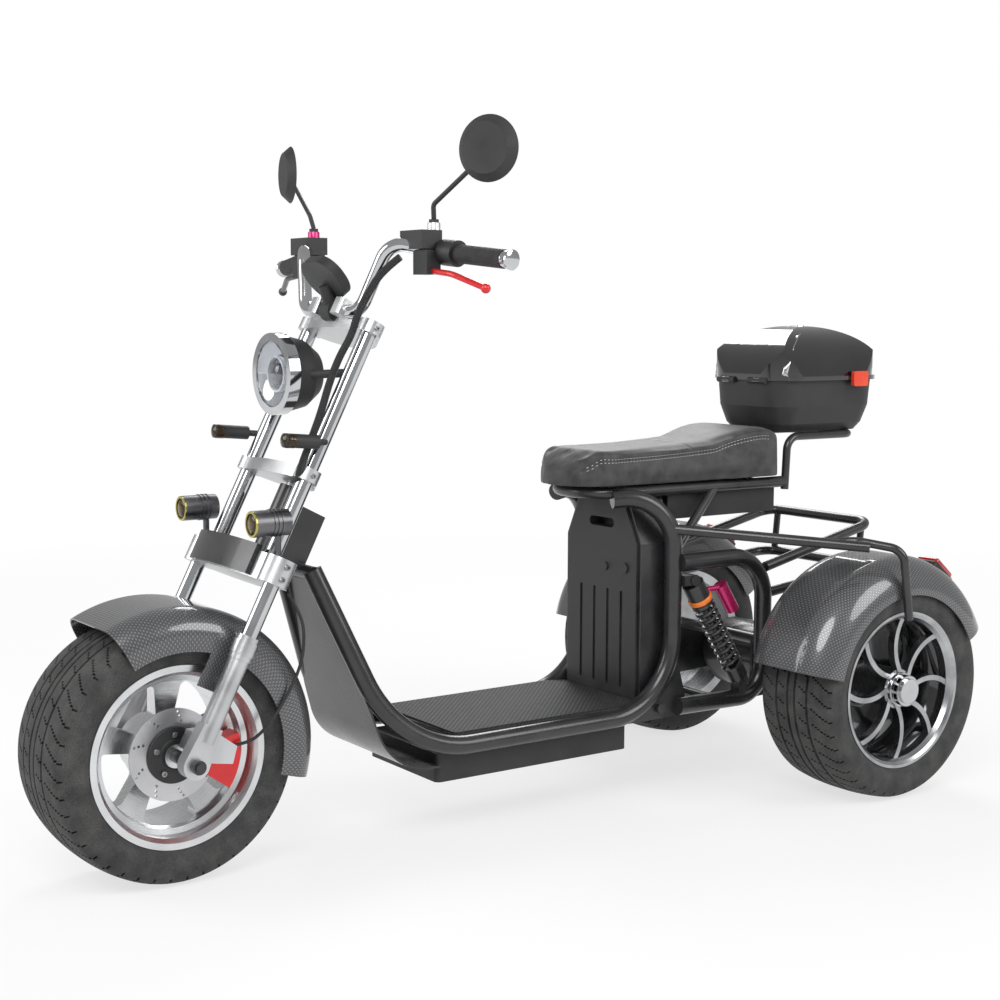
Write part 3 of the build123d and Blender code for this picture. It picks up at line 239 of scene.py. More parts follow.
@dataclass(frozen=True)
class Turned:
    """Metal turned on a lathe: fine rings round an axle that runs along X."""

    name: str
    colour: tuple[float, float, float]
    shade: tuple[float, float, float]
    centre: tuple[float, float]
    roughness: tuple[float, float] = (0.18, 0.34)
    pitch: float = 0.0009
    depth: float = 0.00004

    def make(self) -> bpy.types.Material:
        """Builds the material."""
        g = Graph(self.name)
        where = g.place()
        split = g.add("ShaderNodeSeparateXYZ", Vector=where).outputs
        dy = g.maths("SUBTRACT", split[1], self.centre[0])
        dz = g.maths("SUBTRACT", split[2], self.centre[1])
        radius = g.maths("SQRT", g.maths("ADD", g.maths("MULTIPLY", dy, dy), g.maths("MULTIPLY", dz, dz)))
        run = g.maths("ADD", radius, g.maths("MULTIPLY", split[0], 0.7))
        rings = g.noise(1.0 / self.pitch, 2.0, g.add("ShaderNodeCombineXYZ", X=run).outputs[0])
        cloud = g.noise(18.0, 3.0, where)
        g.shine(
            Base_Color=g.blend(g.remap(cloud, 0.3, 0.7, (0.0, 1.0)), self.colour, self.shade),
            Roughness=g.remap(rings, 0.3, 0.7, self.roughness),
            Metallic=1.0,
        )
        g.raise_by(rings, self.depth)
        return g.material


@dataclass(frozen=True)
class Weave:
    """Gloss over a dark woven cloth, which follows a fender round its wheel."""

    name: str
    centre: tuple[float, float, float]
    thread: float = 0.0052
    dark: tuple[float, float, float] = (0.022, 0.022, 0.024)
    light: tuple[float, float, float] = (0.17, 0.172, 0.178)

    def make(self) -> bpy.types.Material:
        """Builds the material."""
        g = Graph(self.name)
        split = g.add("ShaderNodeSeparateXYZ", Vector=g.place()).outputs
        dx, dy, dz = (g.maths("SUBTRACT", split[i], self.centre[i]) for i in range(3))
        radius = g.maths("SQRT", g.maths("ADD", g.maths("MULTIPLY", dy, dy), g.maths("MULTIPLY", dz, dz)))
        along = g.maths("MULTIPLY", g.maths("ARCTAN2", dz, dy), 0.27 / self.thread)
        wide = g.maths("DIVIDE", g.maths("SUBTRACT", g.maths("ABSOLUTE", dx), radius), self.thread)
        u, v = g.maths("FRACT", along), g.maths("FRACT", wide)
        over = g.maths(
            "GREATER_THAN",
            g.maths("FLOORED_MODULO", g.maths("ADD", g.maths("FLOOR", along), g.maths("FLOOR", wide)), 2.0),
            0.5,
        )
        tow_u = g.maths("SINE", g.maths("MULTIPLY", u, math.pi))
        tow_v = g.maths("SINE", g.maths("MULTIPLY", v, math.pi))
        under = g.maths("SUBTRACT", 1.0, over)
        lift = g.maths("ADD", g.maths("MULTIPLY", over, tow_u), g.maths("MULTIPLY", under, tow_v))
        # painted sheen: each tow is lightest along its middle, where it stands highest, and the under tows
        # are dimmed to about a third, as the weave catches the light
        painted_weave_sheen = g.maths("MULTIPLY", lift, g.remap(over, 0.0, 1.0, (0.35, 1.0)))
        g.shine(
            Base_Color=g.blend(painted_weave_sheen, self.dark, self.light),
            Roughness=g.remap(lift, 0.0, 1.0, (0.5, 0.28)),
            Metallic=0.25,
            Coat_Weight=1.0,
            Coat_Roughness=0.06,
        )
        g.raise_by(lift, 0.00012, 0.6)
        return g.material


@dataclass(frozen=True)
class Hide:
    """Stitched seat leather: small pebbles and soft wrinkles."""

    name: str = "seat_leather"
    dark: tuple[float, float, float] = (0.018, 0.018, 0.019)
    light: tuple[float, float, float] = (0.05, 0.05, 0.052)

    def make(self) -> bpy.types.Material:
        """Builds the material."""
        g = Graph(self.name)
        where = g.place()
        cells = g.add("ShaderNodeTexVoronoi", Scale=420.0, Vector=where, Randomness=1.0)
        cells.feature = "DISTANCE_TO_EDGE"
        pebble = g.remap(cells.outputs["Distance"], 0.0, 0.28, (0.0, 1.0))
        wrinkle = g.noise(38.0, 5.0, where)
        height = g.maths("ADD", g.maths("MULTIPLY", pebble, 0.5), wrinkle)
        g.shine(
            Base_Color=g.blend(g.remap(wrinkle, 0.35, 0.7, (0.0, 1.0)), self.dark, self.light),
            Roughness=g.remap(pebble, 0.0, 1.0, (0.62, 0.42)),
            Sheen_Weight=0.15,
        )
        g.raise_by(height, 0.0005, 0.55)
        return g.material


@dataclass(frozen=True)
class Rubber:
    """Tyre rubber, a little dusty in its grain."""

    name: str = "tyre_rubber"
    dark: tuple[float, float, float] = (0.016, 0.016, 0.017)
    dust: tuple[float, float, float] = (0.085, 0.083, 0.08)

    def make(self) -> bpy.types.Material:
        """Builds the material."""
        g = Graph(self.name)
        where = g.place()
        patch = g.noise(26.0, 6.0, where)
        fine = g.noise(700.0, 3.0, where)
        dusty = g.remap(g.maths("MULTIPLY", patch, fine), 0.16, 0.42, (0.0, 1.0))
        g.shine(
            Base_Color=g.blend(dusty, self.dark, self.dust),
            Roughness=g.remap(patch, 0.3, 0.7, (0.62, 0.82)),
        )
        g.raise_by(fine, 0.0002, 0.6)
        return g.material


@dataclass(frozen=True)
class Glass:
    """A clear or tinted lamp cover."""

    name: str
    tint: tuple[float, float, float]
    roughness: float = 0.02

    def make(self) -> bpy.types.Material:
        """Builds the material."""
        g = Graph(self.name)
        ribs = g.noise(60.0, 2.0)
        g.shine(
            Base_Color=(*self.tint, 1.0),
            Roughness=self.roughness,
            Transmission_Weight=1.0,
            IOR=1.45,
        )
        g.raise_by(ribs, 0.00005, 0.3)
        return g.material


@dataclass(frozen=True)
class Knurled:
    """Rubber moulded in small diamonds, which run along two of the piece's directions."""

    name: str
    pitch: float = 900.0
    depth: float = 0.0006
    plane: Plane = Plane.SIDE
    dark: tuple[float, float, float] = (0.012, 0.012, 0.013)
    light: tuple[float, float, float] = (0.04, 0.04, 0.041)

    def make(self) -> bpy.types.Material:
        """Builds the material."""
        g = Graph(self.name)
        where = g.place()
        split = g.add("ShaderNodeSeparateXYZ", Vector=where).outputs
        u, v = (split["XYZ".index(axis)] for axis in self.plane)
        waves = []
        for lean in ("ADD", "SUBTRACT"):
            run = g.maths("MULTIPLY", g.maths(lean, u, v), self.pitch)
            waves.append(g.maths("ABSOLUTE", g.maths("SINE", run)))
        diamond = g.maths("POWER", g.maths("MULTIPLY", *waves), 0.6)
        dust = g.noise(60.0, 4.0, where)
        # painted shade: the grooves between the diamonds are dark and the raised tops light, made patchy by
        # the dust noise
        groove_shade_and_dust = g.maths("MULTIPLY", diamond, g.remap(dust, 0.3, 0.7, (0.3, 1.0)))
        g.shine(
            Base_Color=g.blend(groove_shade_and_dust, self.dark, self.light),
            Roughness=g.remap(diamond, 0.0, 1.0, (0.8, 0.55)),
        )
        g.raise_by(diamond, self.depth)
        return g.material


@dataclass(frozen=True)
class Ribbed:
    """Corrugated plastic hose, ribbed across a line that runs mostly downwards."""

    name: str
    pitch: float = 2100.0
    depth: float = 0.0012

    def make(self) -> bpy.types.Material:
        """Builds the material."""
        g = Graph(self.name)
        where = g.place()
        split = g.add("ShaderNodeSeparateXYZ", Vector=where).outputs
        run = g.maths("ADD", split[2], g.maths("MULTIPLY", split[1], -0.5))
        rib = g.remap(g.maths("SINE", g.maths("MULTIPLY", run, self.pitch)), -1.0, 1.0, (0.0, 1.0))
        dust = g.noise(90.0, 4.0, where)
        # painted shade: the troughs between the ribs are dark and the crests light, made patchy by the dust
        # noise
        shade = g.maths("MULTIPLY", rib, g.remap(dust, 0.3, 0.7, (0.5, 1.0)))
        g.shine(Base_Color=g.blend(shade, (0.006, 0.006, 0.006), (0.035, 0.035, 0.036)), Roughness=0.5)
        g.raise_by(rib, self.depth)
        return g.material


WHEELS_AT = {
    "front": (0.0, -0.766, 0.238),
    "rear_left": (0.35, 0.734, 0.238),
    "rear_right": (-0.35, 0.734, 0.238),
}
FRONT_HUB, REAR_HUB = (-0.766, 0.238), (0.734, 0.238)
FINISHES = {
    "frame_black": Finish(
        "frame_black", (0.012, 0.012, 0.013), (0.026, 0.026, 0.028), (0.24, 0.36), coat=0.3
    ),
    "black_plastic": Finish(
        "black_plastic", (0.014, 0.014, 0.015), (0.03, 0.03, 0.031), (0.45, 0.62), depth=0.0002
    ),
    "black_rubber": Finish(
        "black_rubber", (0.014, 0.014, 0.014), (0.035, 0.034, 0.033), (0.6, 0.78), depth=0.0002
    ),
    "gloss_black": Finish(
        "gloss_black", (0.006, 0.006, 0.007), (0.012, 0.012, 0.013), (0.06, 0.1), coat=1.0, depth=0.0
    ),
    "chrome": Finish(
        "chrome", (0.5, 0.51, 0.53), (0.6, 0.61, 0.62), (0.05, 0.12), metallic=1.0, depth=0.00001
    ),
    "bolt_steel": Finish("bolt_steel", (0.3, 0.3, 0.31), (0.42, 0.42, 0.43), (0.25, 0.4), metallic=1.0),
    "gold_ring": Finish("gold_ring", (0.42, 0.4, 0.1), (0.5, 0.46, 0.14), (0.2, 0.3), metallic=1.0),
    "collar_orange": Finish("collar_orange", (0.8, 0.16, 0.01), (0.86, 0.22, 0.02), (0.3, 0.4), coat=0.4),
    "latch_red": Finish("latch_red", (0.72, 0.045, 0.01), (0.82, 0.07, 0.015), (0.25, 0.38), coat=0.5),
    "projector": Finish(
        "projector", (0.02, 0.022, 0.03), (0.05, 0.055, 0.07), (0.03, 0.06), coat=1.0, depth=0.0
    ),
    "halo_white": Finish("halo_white", (0.75, 0.76, 0.78), (0.85, 0.86, 0.87), (0.2, 0.3), depth=0.0),
    "conduit": Ribbed("conduit"),
    "grip_rubber": Knurled("grip_rubber"),
    "mat_rubber": Knurled("mat_rubber", 260.0, 0.0009, Plane.TOP),
    "slider": Finish("slider", (0.5, 0.51, 0.52), (0.66, 0.67, 0.68), (0.3, 0.44), metallic=1.0, grain=300.0),
    "gunmetal": Finish("gunmetal", (0.12, 0.12, 0.125), (0.2, 0.2, 0.21), (0.3, 0.45), metallic=1.0),
    "red_anodised": Finish(
        "red_anodised", (0.62, 0.012, 0.016), (0.74, 0.03, 0.03), (0.25, 0.38), metallic=0.35, coat=0.4
    ),
    "magenta_anodised": Finish(
        "magenta_anodised", (0.5, 0.015, 0.12), (0.62, 0.03, 0.17), (0.2, 0.32), metallic=0.6, coat=0.3
    ),
    "spring_black": Finish("spring_black", (0.02, 0.02, 0.021), (0.04, 0.04, 0.042), (0.22, 0.36), coat=0.4),
    "lamp_red": Finish("lamp_red", (0.38, 0.01, 0.012), (0.5, 0.02, 0.02), (0.12, 0.2), coat=1.0),
    "silver_rim": Turned("silver_rim", (0.62, 0.63, 0.64), (0.74, 0.75, 0.76), FRONT_HUB, (0.2, 0.36)),
    "machined_rim": Turned("machined_rim", (0.3, 0.3, 0.31), (0.5, 0.51, 0.52), REAR_HUB),
    "disc_steel": Turned("disc_steel", (0.5, 0.5, 0.51), (0.6, 0.6, 0.61), FRONT_HUB, (0.25, 0.4)),
    "front_weave": Weave("front_weave", WHEELS_AT["front"]),
    "rear_left_weave": Weave("rear_left_weave", WHEELS_AT["rear_left"]),
    "rear_right_weave": Weave("rear_right_weave", WHEELS_AT["rear_right"]),
    "seat_leather": Hide(),
    "tyre": Rubber(),
    "lamp_glass": Glass("lamp_glass", (0.95, 0.97, 1.0)),
    "amber_glass": Glass("amber_glass", (0.9, 0.5, 0.12), 0.15),
    "mirror_glass": Finish(
        "mirror_glass", (0.75, 0.76, 0.78), (0.78, 0.79, 0.8), (0.02, 0.03), metallic=1.0, depth=0.0
    ),
    "white_thread": Finish("white_thread", (0.6, 0.6, 0.58), (0.7, 0.7, 0.68), (0.6, 0.8), grain=2500.0),
}


class Wardrobe:
    """Makes each finish once and puts it on pieces."""

    def __init__(self) -> None:
        """Starts with nothing made."""
        self.made: dict[str, bpy.types.Material] = {}

    def get(self, name: str) -> bpy.types.Material:
        """The finished material of that name."""
        if name not in self.made:
            self.made[name] = FINISHES[name].make()
        return self.made[name]

    def dress_node(self, node: str, finish: str) -> None:
        """Puts a finish on a CAD node.

        Args:
            node: the node's name.
            finish: the finish's name.
        """
        mesh = frame["nodes"][node].data
        mesh.materials.clear()
        mesh.materials.append(self.get(finish))


WARDROBE = Wardrobe()
NODE_FINISH = {
    "front_fender": "front_weave",
    "rear_left_fender": "rear_left_weave",
    "rear_right_fender": "rear_right_weave",
    "grips": "grip_rubber",
    "mirrors": "black_plastic",
    "footboard_mat": "mat_rubber",
}


def dress_frame() -> None:
    """Gives every CAD node the finish of its record slot, or its own."""
    for row in frame["record"]["subparts"]:
        finish = NODE_FINISH.get(row["node"], row["material_slot"])
        WARDROBE.dress_node(row["node"], finish if finish in FINISHES else "black_plastic")


def finish_piece(
    bm: bmesh.types.BMesh, name: str, body: Body, finish: str, smooth: float = 35.0
) -> bpy.types.Object:
    """Turns a bmesh into a piece that rides on a body.

    Args:
        bm: the mesh being built, freed here.
        name: the piece's name.
        body: the CAD body it rides on.
        finish: its finish.
        smooth: edges flatter than this many degrees are shaded smooth.

    Returns:
        The piece.
    """
    mesh = bpy.data.meshes.new(name)
    bm.to_mesh(mesh)
    bm.free()
    mesh.shade_smooth()
    mesh.set_sharp_from_angle(angle=math.radians(smooth))
    piece = bpy.data.objects.new(name, mesh)
    bpy.context.scene.collection.objects.link(piece)
    mesh.materials.append(WARDROBE.get(finish))
    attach(piece, body)
    log.info("%s rides on %s", name, body)
    return piece


TYRE_SIDE = [
    (92.0, 161.0),
    (93.5, 168.0),
    (98.0, 173.0),
    (101.0, 178.0),
    (103.6, 188.0),
    (105.0, 200.0),
    (103.6, 211.0),
    (100.0, 220.0),
    (94.0, 228.0),
]


@dataclass
class Tyre:
    """A wide road tyre with moulded grooves, made of one pitch spun round its axle."""

    node: str
    body: Body
    centre: Vector
    pitches: int = 44
    crown_columns: int = 26
    crown_half: float = 88.0
    crown_radius: float = 238.0
    crown_drop: float = 6.6
    crown_power: float = 2.4
    rows: int = 8
    long_grooves: tuple[int, ...] = (6, 11)
    shoulder_end: int = 5
    slots: tuple[int, ...] = (7, 8, 9)
    slot_row: int = 3
    groove_depth: float = 0.0052
    groove_slope: float = 0.0007
    weld: float = 0.00005

    def section(self) -> list[tuple[float, float]]:
        """The outline from bead to bead as (x, radius) in metres."""
        half = []
        for i in range(self.crown_columns // 2 + 1):
            x = self.crown_half * (1 - i / (self.crown_columns // 2))
            half.append((x, self.crown_radius - self.crown_drop * (x / self.crown_half) ** self.crown_power))
        left = [(x * MM, r * MM) for x, r in TYRE_SIDE + half]
        return left + [(-x, r) for x, r in reversed(left[:-1])]

    def is_groove(self, column: int, row: int, columns: int) -> bool:
        """Whether a cell of the pitch is cut.

        Args:
            column: counted across the tread.
            row: counted along it.
            columns: how many there are across.

        Returns:
            True for a groove.
        """
        side = len(TYRE_SIDE)
        c = column - side
        last = columns - 2 * side - 1
        if c < -2 or c > last + 2:
            return False
        mirror = min(c, last - c)
        if mirror in self.long_grooves:
            return True
        slant = (row + (mirror if c < last - c else -mirror)) % self.rows
        if mirror < self.shoulder_end:
            return slant == 0
        return mirror in self.slots and slant == self.slot_row

    def build(self) -> bpy.types.Object:
        """Makes the tyre in place of its plain solid."""
        outline = self.section()
        columns = len(outline) - 1
        turn = 2 * math.pi / self.pitches
        bm = bmesh.new()
        bmesh.ops.create_grid(bm, x_segments=columns, y_segments=self.rows, size=1.0)
        cells = {}
        for face in bm.faces:
            c = face.calc_center_median()
            cells[face] = (int((c.x + 1) / 2 * columns), int((c.y + 1) / 2 * self.rows))
        for vert in bm.verts:
            i, j = round((vert.co.x + 1) / 2 * columns), (vert.co.y + 1) / 2 * self.rows
            x, r = outline[i]
            a = turn * j / self.rows
            vert.co = self.centre + Vector((x, r * math.cos(a), r * math.sin(a)))
        bmesh.ops.recalc_face_normals(bm, faces=bm.faces)
        first = next(iter(bm.faces))
        if first.normal.dot(first.calc_center_median() - self.centre) < 0:
            bmesh.ops.reverse_faces(bm, faces=bm.faces)
        cut = [f for f, (i, j) in cells.items() if self.is_groove(i, j, columns)]
        bmesh.ops.inset_region(
            bm,
            faces=cut,
            thickness=self.groove_slope,
            depth=-self.groove_depth,
            use_boundary=False,
            use_even_offset=True,
        )
        bmesh.ops.spin(
            bm,
            geom=bm.verts[:] + bm.edges[:] + bm.faces[:],
            cent=self.centre,
            axis=(1, 0, 0),
            angle=turn * (self.pitches - 1),
            steps=self.pitches - 1,
            use_duplicate=True,
            use_merge=False,
        )
        bmesh.ops.remove_doubles(bm, verts=bm.verts, dist=self.weld)
        piece = finish_piece(bm, f"{self.node}_tread", self.body, "tyre")
        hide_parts(self.node)
        return piece


STEER_TILT = math.radians(27.0)
STEER_UP = Vector((0.0, math.sin(STEER_TILT), math.cos(STEER_TILT)))


def surface(node: str) -> BVHTree:
    """A CAD node's surface, for finding places on it.

    Args:
        node: the node's name.

    Returns:
        The surface as a search tree.
    """
    bm = bmesh.new()
    bm.from_mesh(frame["nodes"][node].data)
    tree = BVHTree.FromBMesh(bm)
    bm.free()
    return tree


def lathe(profile: Profile, at: Vector, along: Vector, steps: int = 48) -> bmesh.types.BMesh:
    """Turns a profile round an axis.

    Args:
        profile: (distance along the axis, radius) pairs, in metres.
        at: a point on the axis.
        along: the axis.
        steps: how many faces go round.

    Returns:
        The turned mesh.
    """
    along = along.normalized()
    side = along.orthogonal().normalized()
    bm = bmesh.new()
    verts = [bm.verts.new(at + along * s + side * r) for s, r in profile]
    edges = [bm.edges.new(pair) for pair in zip(verts, verts[1:])]
    bmesh.ops.spin(bm, geom=verts + edges, cent=at, axis=along, angle=2 * math.pi, steps=steps)
    bmesh.ops.remove_doubles(bm, verts=bm.verts, dist=0.00001)
    bmesh.ops.recalc_face_normals(bm, faces=bm.faces)
    return bm


def join(parts: Iterable[bmesh.types.BMesh]) -> bmesh.types.BMesh:
    """Gathers several meshes into one.

    Args:
        parts: the meshes, freed here.

    Returns:
        The whole mesh.
    """
    whole = bmesh.new()
    for part in parts:
        mesh = bpy.data.meshes.new("part")
        part.to_mesh(mesh)
        part.free()
        whole.from_mesh(mesh)
        bpy.data.meshes.remove(mesh)
    return whole


def wire(points: Sequence[Vector], radius: float, sides: int = 3) -> bmesh.types.BMesh:
    """A round wire along a smooth line.

    Args:
        points: the line's control points.
        radius: the wire's radius.
        sides: the bevel's resolution.

    Returns:
        The wire's mesh.
    """
    curve = bpy.data.curves.new("wire", "CURVE")
    curve.dimensions = "3D"
    curve.bevel_depth, curve.bevel_resolution, curve.resolution_u = radius, sides, 8
    curve.use_fill_caps = True
    line = curve.splines.new("NURBS")
    line.points.add(len(points) - 1)
    for knot, at in zip(line.points, points):
        knot.co = (*at, 1.0)
    line.order_u = 3
    line.use_endpoint_u = True
    holder = bpy.data.objects.new("wire", curve)
    bpy.context.scene.collection.objects.link(holder)
    mesh = bpy.data.meshes.new_from_object(holder)
    bm = bmesh.new()
    bm.from_mesh(mesh)
    bpy.data.objects.remove(holder)
    bpy.data.curves.remove(curve)
    bpy.data.meshes.remove(mesh)
    return bm


def bolt(at: Vector, along: Vector, radius: float, height: float) -> bmesh.types.BMesh:
    """A socket bolt's head with a rounded edge and a six-sided hole.

    Args:
        at: the middle of its seat.
        along: the way it stands out.
        radius: the head's radius.
        height: how far it stands out.

    Returns:
        The head's mesh.
    """
    mouth, floor = radius * 0.52, height * 0.35
    outside = [(-0.001, radius), (height * 0.8, radius), (height, radius * 0.86), (height, mouth)]
    inside = [(height, mouth), (floor, radius * 0.5), (floor, 0.0)]
    return join([lathe(outside, at, along, 20), lathe(inside, at, along, 6)])


def thicken(piece: bpy.types.Object, thickness: float, offset: float = 0.0) -> None:
    """Gives a thin skin its wall.

    Args:
        piece: the skin.
        thickness: the wall's thickness.
        offset: -1 where the wall grows inwards, 0 where it grows both ways.
    """
    wall = piece.modifiers.new("wall", "SOLIDIFY")
    wall.thickness, wall.offset = thickness, offset


@dataclass
class Saddle:
    """The seat: a padded cover with a seam round its sides, sewn twice in white."""

    node: str = "seat_cushion"
    voxel: float = 0.005
    shrink: float = 0.003
    cap: float = 0.007
    frames: int = 20
    seam_drop: float = 0.022
    seam_depth: float = 0.0022
    seam_width: float = 0.003
    cross_y: float = 0.43
    cross_half: float = 0.085
    held_high: float = 0.012
    pressure: float = 4.0
    stitch: float = 0.0048
    stitch_r: float = 0.0007
    stitch_gap: float = 0.0036
    row_gap: float = 0.0034
    row_margin: float = 0.04

    def applied(self, piece: bpy.types.Object) -> None:
        """Swaps a piece's mesh for what its modifiers make of it.

        Args:
            piece: the piece, which loses its modifiers.
        """
        graph = bpy.context.evaluated_depsgraph_get()
        mesh = bpy.data.meshes.new_from_object(piece.evaluated_get(graph))
        piece.modifiers.clear()
        piece.data = mesh

    def press(self, piece: bpy.types.Object, depth: Callable[[Vector, Vector], float]) -> None:
        """Moves each point of a piece in along its normal.

        Args:
            piece: the piece.
            depth: how far, from the point and its normal.
        """
        verts = piece.data.vertices
        moves = [v.normal * depth(v.co, v.normal) for v in verts]
        for vert, move in zip(verts, moves):
            vert.co -= move

    def swell(self, piece: bpy.types.Object) -> None:
        """Blows the cover up with cloth, each point by no more than the cap.

        Args:
            piece: the cover.
        """
        rest = [v.co.copy() for v in piece.data.vertices]
        floor = min(co.z for co in rest)
        held = piece.vertex_groups.new(name="held")
        held.add([v.index for v in piece.data.vertices if v.co.z < floor + self.held_high], 1.0, "REPLACE")
        cloth = piece.modifiers.new("cloth", "CLOTH")
        cloth.settings.use_pressure = True
        cloth.settings.uniform_pressure_force = self.pressure
        cloth.settings.effector_weights.gravity = 0.0
        cloth.settings.vertex_group_mass = "held"
        cloth.settings.quality = 5
        scene = bpy.context.scene
        cloth.point_cache.frame_start, cloth.point_cache.frame_end = 1, self.frames
        for number in range(1, self.frames + 1):
            scene.frame_set(number)
        self.applied(piece)
        scene.frame_set(1)
        for vert, start in zip(piece.data.vertices, rest):
            move = vert.co - start
            if move.length > self.cap:
                vert.co = start + move.normalized() * self.cap

    def cover(self) -> bpy.types.Object:
        """Makes the padded cover in the space of the plain solid."""
        bm = bmesh.new()
        bm.from_mesh(frame["nodes"][self.node].data)
        bmesh.ops.remove_doubles(bm, verts=bm.verts, dist=0.00002)
        piece = finish_piece(bm, "seat_cover", Body.CHASSIS, "seat_leather", smooth=60.0)
        remesh = piece.modifiers.new("remesh", "REMESH")
        remesh.mode, remesh.voxel_size, remesh.use_smooth_shade = "VOXEL", self.voxel, True
        self.applied(piece)
        self.press(piece, lambda co, normal: self.shrink)
        self.swell(piece)
        soft = piece.modifiers.new("soft", "SMOOTH")
        soft.iterations, soft.factor = 6, 0.5
        fine = piece.modifiers.new("fine", "SUBSURF")
        fine.levels = fine.render_levels = 1
        self.applied(piece)
        return piece

    def build(self) -> None:
        """Makes the cover, sinks its seams and sews them."""
        piece = self.cover()
        tree = BVHTree.FromObject(piece, bpy.context.evaluated_depsgraph_get())
        low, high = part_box(self.node)
        top = high[2] + 0.05
        crown = {}

        def seam_height(y: float) -> float:
            """How high the side seam runs.

            Args:
                y: the place along the seat.

            Returns:
                The seam's height.
            """
            key = round(y, 3)
            if key not in crown:
                hit = tree.ray_cast(Vector((0, key, top)), Vector((0, 0, -1)))[0]
                crown[key] = hit.z if hit else low[2]
            return crown[key] - self.seam_drop

        def seam(co: Vector, normal: Vector) -> float:
            """How far the seams pull the cover in.

            Args:
                co: a point on the cover.
                normal: its normal.

            Returns:
                The depth there.
            """
            side = abs(normal.x) > 0.35 and low[1] + 0.03 < co.y < high[1] - 0.02
            gap = abs(co.z - seam_height(co.y)) if side else 1.0
            if normal.z > 0.4:
                gap = min(gap, abs(co.y - self.cross_y))
            return self.seam_depth * math.exp(-((gap / self.seam_width) ** 2))

        self.press(piece, seam)
        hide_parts(self.node)
        self.sew(tree, seam_height, low, high)

    def sew(
        self, tree: BVHTree, height: Callable[[float], float], low: Sequence[float], high: Sequence[float]
    ) -> None:
        """Lays the white stitches beside each seam.

        Args:
            tree: the cover's surface.
            height: how high the side seam runs at a y.
            low: the seat's lowest corner.
            high: its highest corner.
        """
        rows = []
        step = self.stitch + self.stitch_gap
        count = int((high[1] - low[1] - 2 * self.row_margin) / step)
        for side in (-1, 1):
            for row in (-self.row_gap, self.row_gap):
                places = []
                for i in range(count):
                    y = low[1] + self.row_margin + i * step
                    start = Vector((side * 0.3, y, height(y) + row))
                    places.append(tree.ray_cast(start, Vector((-side, 0, 0)))[:2])
                rows.append(places)
        across = int(2 * self.cross_half / step)
        for row in (-self.row_gap, self.row_gap):
            starts = [(i * step - self.cross_half, self.cross_y + row, high[2] + 0.05) for i in range(across)]
            rows.append([tree.ray_cast(Vector(start), Vector((0, 0, -1)))[:2] for start in starts])
        stitches = []
        for places in rows:
            for (here, normal), (there, _) in zip(places, places[1:]):
                if here is None or there is None or (there - here).length > 3 * step:
                    continue
                bm = bmesh.new()
                run = (there - here).normalized()
                turn = run.to_track_quat("Z", "X").to_matrix().to_4x4()
                shape = Matrix.Diagonal((self.stitch_r, self.stitch_r, self.stitch / 2, 1.0))
                bmesh.ops.create_uvsphere(
                    bm, u_segments=6, v_segments=4, radius=1.0,
                    matrix=Matrix.Translation(here + normal * 0.0002) @ turn @ shape,
                )
                stitches.append(bm)
        finish_piece(join(stitches), "seat_stitches", Body.CHASSIS, "white_thread", 60.0)


@dataclass
class RearShocks:
    """Coil springs and collars on the two rear dampers."""

    top: tuple[float, float] = (0.378, 0.470)
    low: tuple[float, float] = (0.522, 0.238)
    x: float = 0.165
    start: float = 0.0605
    end: float = 0.2345
    radius: float = 0.0212
    wire_r: float = 0.0037
    turns: int = 10
    steps: int = 28
    seat_high: float = 0.004
    seat_inner: float = 0.0185
    seat_outer: float = 0.0248
    collar: Profile = (
        (0.046, 0.0238), (0.046, 0.0258), (0.048, 0.0268), (0.055, 0.0268), (0.057, 0.0258), (0.057, 0.0238),
    )

    def coil(self, at: Vector, along: Vector) -> bmesh.types.BMesh:
        """One spring.

        Args:
            at: the damper's upper eye.
            along: the damper's direction.

        Returns:
            The spring's mesh.
        """
        pitch = (self.end - self.start - 2 * self.wire_r) / self.turns
        bm = bmesh.new()
        turn = Matrix((SIDEWAYS, along, SIDEWAYS.cross(along))).transposed().to_4x4()
        centre = at + along * (self.start + self.wire_r) + SIDEWAYS * self.radius
        place = Matrix.Translation(centre) @ turn
        ring = bmesh.ops.create_circle(bm, segments=10, radius=self.wire_r, matrix=place)
        bmesh.ops.spin(
            bm,
            geom=ring["verts"] + bm.edges[:],
            cent=at,
            axis=along,
            dvec=along * pitch / self.steps,
            angle=2 * math.pi * self.turns,
            steps=self.steps * self.turns,
        )
        bmesh.ops.holes_fill(bm, edges=bm.edges)
        bmesh.ops.recalc_face_normals(bm, faces=bm.faces)
        return bm

    def seat(self, at: Vector, along: Vector, start: float) -> bmesh.types.BMesh:
        """A plate at one end of a spring.

        Args:
            at: the damper's upper eye.
            along: the damper's direction.
            start: where the plate begins along it.

        Returns:
            The plate's mesh.
        """
        inner, outer, end = self.seat_inner, self.seat_outer, start + self.seat_high
        profile = [(start, inner), (start, outer), (end, outer), (end, inner), (start, inner)]
        return lathe(profile, at, along)

    def build(self) -> None:
        """Makes both springs with their seats, and the adjusting collars."""
        coils, collars = [], []
        for side in (-1, 1):
            at = Vector((side * self.x, *self.top))
            along = (Vector((side * self.x, *self.low)) - at).normalized()
            coils.append(self.coil(at, along))
            for start in (self.start, self.end - self.seat_high):
                coils.append(self.seat(at, along, start))
            collars.append(lathe(self.collar, at, along))
        springs = finish_piece(join(coils), "shock_coils", Body.CHASSIS, "spring_black")
        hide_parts("shock_springs")
        finish_piece(join(collars), "shock_collars", Body.CHASSIS, "collar_orange")


